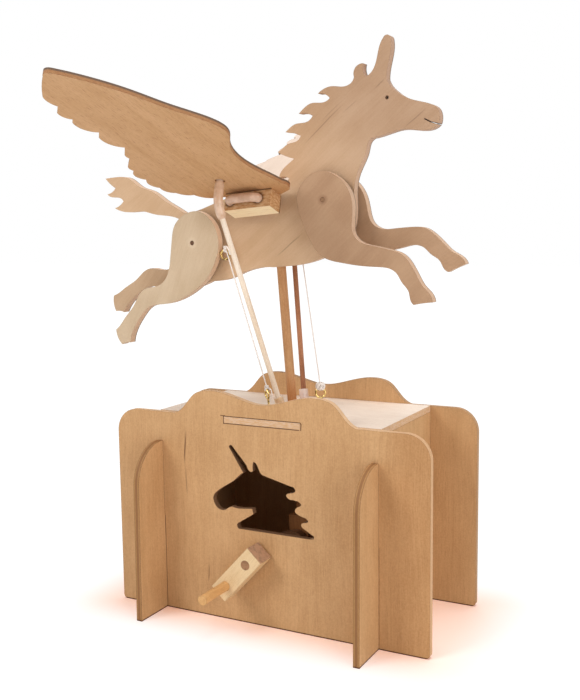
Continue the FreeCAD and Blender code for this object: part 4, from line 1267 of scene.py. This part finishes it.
@dataclass
class EyesAndCords:
    """The four brass screw eyes and the two taut cords between them.

    cord_twist is the strands, the pitch and the relief of the cord. top_tail is in the figure's own
    frame, and foot_tail's heights are from the middle of the eye's ring.
    """

    frame: FigureFrame
    brass: Material
    cord: Material
    ring: float = 3.25
    wire: float = 0.7
    opening: float = math.radians(24)
    leg_middle: float = 9.4
    lid_rise: float = 9.7
    lid_depth: float = 3.6
    rear_lid_x: float = -17.2
    front_lid_x: float = 14.5
    rear_leg_eye: Spot = (-37.94, 11.47)
    front_leg_eye: Spot = (10.4, 22.0)
    eye_lean: float = math.radians(-11.6)
    thread_pitch: float = 0.9
    thread_root: float = 0.14
    thread_depth: float = 0.2
    cord_radius: float = 0.5
    cord_twist: tuple[int, float, float] = (3, 2.2, 0.3)
    cord_sides: int = 12
    front_of_ring: float = 10.7
    rear_knot: Spot = (-36.53, 16.23)
    knot_rise: float = 1.4
    knot_below: float = 4.2
    rear_turn: float = math.radians(42)
    front_turn: float = math.radians(-24)
    top_tail: tuple[tuple[float, float, float], ...] = (
        (-34.9, -11.4, 16.6), (-33.6, -11.5, 14.2), (-33.0, -11.3, 10.9))
    foot_tail: tuple[tuple[float, float, float], ...] = (
        (-13.6, -10.2, 3.2), (-12.9, -10.4, 0.4), (-12.6, -10.3, -2.2))

    def build(self) -> None:
        """Build the eyes and the cords."""
        frame, middle = self.frame, self.leg_middle
        level = frame.lid_top + self.lid_rise
        rear_lid = Vector((self.rear_lid_x, -middle, level))
        front_lid = Vector((self.front_lid_x, middle, level))
        rear_leg = frame.beside(self.rear_leg_eye, -middle)
        front_leg = frame.beside(self.front_leg_eye, middle)
        leaning = Vector((-math.sin(self.eye_lean), 0.0, -math.cos(self.eye_lean)))
        rear_in = (frame.beside(frame.rear_pivot, -middle) - rear_leg).normalized()
        front_in = (frame.beside(frame.front_pivot, middle) - front_leg).normalized()
        deep = self.lid_rise + self.lid_depth
        self._eye("rear_lid", "box", rear_lid, leaning, deep, 3.8, self.rear_turn)
        self._eye("front_lid", "box", front_lid, -UP, deep, 3.8, self.front_turn)
        self._eye("rear_leg", "rear_legs", rear_leg, rear_in, 10.5, 3.0)
        self._eye("front_leg", "front_legs", front_leg, front_in, 21.4, 3.0)

        over = frame.beside(self.rear_knot, -self.front_of_ring)
        rear_top = Tie(rear_leg + (over - rear_leg).normalized() * self.ring, AHEAD, over,
                       frame.upwards, 1.0, tail=tuple(frame.point(*at) for at in self.top_tail))
        rear_foot = self._foot(rear_lid, self.rear_turn, 1.25,
                               tail=tuple(Vector((x, y, level + z)) for x, y, z in self.foot_tail))
        front_foot = self._foot(front_lid, self.front_turn, 2.3, strand=1.0, turns=3)
        line = (front_leg - front_lid).normalized()
        wire = front_leg - line * self.ring
        front_top = Tie(wire, AHEAD, wire - line * self.knot_below, line, 1.0, slack=2.0)
        self._cord("rear", rear_foot, rear_top)
        self._cord("front", front_foot, front_top)

    def _foot(self, eye: Vector, turn: float, size: float, **more: object) -> Tie:
        """Return the tie at an eye in the lid, of a size, with more of the Tie's fields."""
        wire = eye + UP * self.ring
        return Tie(wire, self._ring_way(-UP, turn), wire + UP * self.knot_rise, UP, size, **more)

    def _ring_way(self, shank: Vector, turn: float) -> Vector:
        """Return the direction across a ring, square to its shank, at the angle it is turned by."""
        across = shank.cross(BACK).normalized()
        return across * math.cos(turn) + shank.cross(across) * math.sin(turn)

    def _eye(self, word: str, body: str, centre: Vector, shank: Vector, length: float,
             thread_start: float, turn: float = 0.0) -> None:
        """Build one screw eye.

        Args:
            word: Which eye it is.
            body: The body that it rides on.
            centre: The middle of its ring.
            shank: The direction of its shank.
            length: How far its tip is from the ring's middle.
            thread_start: How far from the ring the thread begins.
            turn: The angle by which it is screwed round from facing the front.
        """
        across = self._ring_way(shank, turn)
        turns = [self.opening + (2 * math.pi - self.opening * 0.2) * k / 44 for k in range(45)]
        ring = [centre + (shank * math.cos(a) + across * math.sin(a)) * self.ring for a in turns]
        neck = ring[-1]
        ring += [lerp(neck, centre + shank * (self.ring + 1.4), share) for share in (0.35, 0.75)]
        surface = Surface(f"{word}_screw_eye").sweep(ring, round_girth(self.wire), 14)
        stem = straight_run(centre + shank * (self.ring + 0.6), centre + shank * length, 0.12)
        reach = length - self.ring - 0.6

        def girth(along: float, angle: float) -> float:
            """Work out the shank's radius, plain and then threaded, with a taper to its tip.

            Args:
                along: The place along the shank.
                angle: The angle round it.

            Returns:
                The radius.
            """
            taper = min(1.0, (reach - along) / 2.0 + 0.15)
            if along < thread_start - self.wire:
                return self.wire * taper
            phase = (along / self.thread_pitch - angle / (2 * math.pi)) % 1.0
            crest = self.thread_depth * (1 - abs(2 * phase - 1))
            return (self.wire - self.thread_root + crest) * taper

        made = surface.sweep(stem, girth, 18).build(self.brass)
        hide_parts(f"{word}_eye")
        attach(made, body)

    def _cord(self, word: str, first: Tie, second: Tie) -> None:
        """Build one cord, tied at both ends, with its knots and loose tails.

        Args:
            word: Which cord it is.
            first: Its tie at the box.
            second: Its tie at the leg.
        """
        strand = twisted_girth(self.cord_radius, *self.cord_twist)
        surface = Surface(f"{word}_tied_cord")
        for tie in (first, second):
            for shift in (-0.5, 0.5):
                reach = self.wire + self.cord_radius + tie.slack
                wrap = self._wrap(tie.wire + tie.tangent * shift, tie.tangent, reach)
                surface.sweep(wrap, strand, self.cord_sides, closed=True)
            for turn in range(tie.turns):
                knot = self._knot(tie.knot, tie.axis, tie.size, turn * 1.05)
                girth = twisted_girth(tie.strand, *self.cord_twist)
                surface.sweep(knot, girth, self.cord_sides, closed=True)
            if tie.tail:
                surface.sweep(smooth_run([tie.knot, *tie.tail], 6), strand, self.cord_sides)
        surface.sweep(straight_run(first.knot, second.knot, 0.3), strand, self.cord_sides)
        made = surface.build(self.cord)
        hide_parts(f"{word}_cord")
        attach(made, f"{word}_cord_body")

    def _wrap(self, centre: Vector, axis: Vector, reach: float) -> Path:
        """Lay one turn of cord round a wire.

        Args:
            centre: The middle of the turn.
            axis: The wire's direction.
            reach: How far the cord's middle is from the wire's.

        Returns:
            The points of the closed turn.
        """
        first = axis.orthogonal().normalized()
        second = axis.cross(first)
        angles = [2 * math.pi * k / 24 for k in range(24)]
        return [centre + (first * math.cos(a) + second * math.sin(a)) * reach for a in angles]

    def _knot(self, centre: Vector, axis: Vector, size: float, turn: float) -> Path:
        """Lay a small overhand knot.

        Args:
            centre: The knot's middle.
            axis: The direction that it is threaded on.
            size: Its size, where 1 is a knot of about three cords' width.
            turn: The angle by which it is turned about the axis.

        Returns:
            The points of the closed knot.
        """
        first = Quaternion(axis, turn) @ axis.orthogonal().normalized()
        second = axis.cross(first)
        path = []
        for k in range(72):
            t = 2 * math.pi * k / 72
            a = (math.sin(t) + 2 * math.sin(2 * t)) * 0.36 * size
            b = (math.cos(t) - 2 * math.cos(2 * t)) * 0.36 * size
            path.append(centre + first * a + second * b - axis * math.sin(3 * t) * 0.8 * size)
        return path


@dataclass(frozen=True)
class Lamp:
    """A soft square lamp: its place and side in millimetres, its power and its colour."""

    name: str
    place: Vector
    size: float
    power: float
    colour: Colour

    def build(self, aim: Vector) -> None:
        """Add the lamp.

        Args:
            aim: The place that it points at.
        """
        lamp = bpy.data.lights.new(self.name, "AREA")
        lamp.size = self.size * MM
        lamp.energy = self.power
        lamp.color = self.colour
        made = add_object(self.name, lamp)
        made.location = self.place * MM
        made.rotation_euler = (aim - self.place).to_track_quat("-Z", "Y").to_euler()
        LOG.info("%s: added", self.name)


@dataclass
class Studio:
    """The floor, the backdrop, the lamps and the camera."""

    camera_place: Vector = Vector((301.402, -576.641, 258.319))
    yaw: float = math.radians(27.896)
    pitch: float = math.radians(6.995)
    roll: float = math.radians(-0.718)
    focal_pixels: float = 959.62
    sensor: float = 36.0
    clip_start: float = 0.01
    lamps: tuple[Lamp, ...] = (
        Lamp("top_lamp", Vector((100, 350, 2600)), 1500.0, 34.0, (1.0, 0.97, 0.95)),
        Lamp("key_lamp", Vector((-1100, -1750, 1500)), 1000.0, 22.0, (1.0, 0.97, 0.94)),
        Lamp("fill_lamp", Vector((1900, -900, 800)), 1400.0, 19.0, (1.0, 0.97, 0.95)),
    )
    aim: Vector = Vector((0, 0, 170))
    world_colour: Colour = (1.0, 0.98, 0.96)
    world_strength: float = 0.35
    floor_half: float = 6.0
    floor_colour: Colour = (0.93, 0.90, 0.87)
    white: Colour = (1.0, 1.0, 1.0)
    white_strength: float = 1.1
    footprint: Spot = (0.115, 0.05)
    white_from: float = -0.004
    white_to: float = 0.055
    # shade_tint colours the painted warm glow in the floor's shadow near the box.
    shade_tint: Colour = (0.28, 0.08, 0.03)

    def build(self) -> None:
        """Build the whole studio."""
        self._floor()
        self._world()
        for lamp in self.lamps:
            lamp.build(self.aim)
        self._camera()
        bpy.context.scene.view_settings.view_transform = "Standard"

    def _floor(self) -> None:
        """Lay a pale floor that the camera sees as white away from the object, with a painted warm glow
        near the object.
        """
        graph = ShaderGraph(bpy.data.materials.new("pale_floor"))
        outside = graph.vector("SUBTRACT", graph.vector("ABSOLUTE", graph.place()),
                               Vector((*self.footprint, 0.0)))
        away = graph.length(graph.vector("MAXIMUM", outside, Vector()))
        plain = graph.signal("BsdfDiffuse", inputs={"Color": opaque(self.floor_colour)})
        # Painted light: a warm glow near the box tints the floor's shadow, standing in for light bounced
        # from the wood.
        painted_warm_glow = graph.signal("Emission", inputs={"Color": opaque(self.shade_tint)})
        white = graph.signal("Emission", inputs={"Color": opaque(self.white),
                                                 "Strength": self.white_strength})
        close = graph.signal("AddShader", inputs={0: plain, 1: painted_warm_glow})
        far = away.fade(self.white_from, self.white_to)
        shown = graph.signal("MixShader", inputs={0: far, 1: close, 2: white})
        mixed = graph.signal("MixShader", inputs={0: graph.seen(), 1: plain, 2: shown})
        graph.node("OutputMaterial", inputs={"Surface": mixed})
        half = self.floor_half
        mesh = bpy.data.meshes.new("floor")
        mesh.from_pydata([(-half, -half, 0), (half, -half, 0), (half, half, 0), (-half, half, 0)],
                         [], [(0, 1, 2, 3)])
        mesh.materials.append(graph.owner)
        add_object("floor", mesh)
        LOG.info("floor: laid")

    def _world(self) -> None:
        """Light the scene evenly, and show white behind it and in what mirrors it."""
        world = bpy.data.worlds.new("studio_world")
        bpy.context.scene.world = world
        graph = ShaderGraph(world)
        light = graph.signal("Background", inputs={"Color": opaque(self.world_colour),
                                                   "Strength": self.world_strength})
        white = graph.signal("Background", inputs={"Color": opaque(self.white)})
        shown = graph.signal("MixShader", inputs={0: graph.seen(), 1: light, 2: white})
        graph.node("OutputWorld", inputs={"Surface": shown})
        LOG.info("studio_world: lit")

    def _camera(self) -> None:
        """Set the camera."""
        forward = Vector((-math.sin(self.yaw) * math.cos(self.pitch),
                          math.cos(self.yaw) * math.cos(self.pitch), -math.sin(self.pitch)))
        level = Vector((math.cos(self.yaw), math.sin(self.yaw), 0.0))
        upright = level.cross(forward)
        right = level * math.cos(self.roll) + upright * math.sin(self.roll)
        up = upright * math.cos(self.roll) - level * math.sin(self.roll)
        camera = bpy.data.cameras.new("camera")
        camera.sensor_width = self.sensor
        camera.lens = self.focal_pixels / FRAME_HEIGHT * self.sensor
        camera.clip_start = self.clip_start
        made = add_object("camera", camera)
        turn = Matrix((right, up, -forward)).transposed().to_4x4()
        made.matrix_world = Matrix.Translation(self.camera_place * MM) @ turn
        bpy.context.scene.camera = made
        LOG.info("camera: set")


def main() -> None:
    """Build the looks in order."""
    logging.basicConfig(level=logging.INFO, format="%(message)s")
    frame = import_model()
    nodes = frame["nodes"]
    figure_frame = FigureFrame()
    hinge = SoftTube("hinge_tube_rubber", paint(222, 192, 170), paint(200, 164, 138)).build()
    tube = SoftTube("rod_tube_rubber", paint(228, 200, 176), paint(206, 172, 144)).build()
    Case(nodes).build()
    Crank(nodes).build()
    Figure(nodes, figure_frame).build()
    HingeTubes(figure_frame, hinge).build()
    PushRods(nodes, figure_frame, tube).build()
    EyesAndCords(figure_frame, Brass().build(), Thread().build()).build()
    Studio().build()


if __name__ == "__main__":
    main()
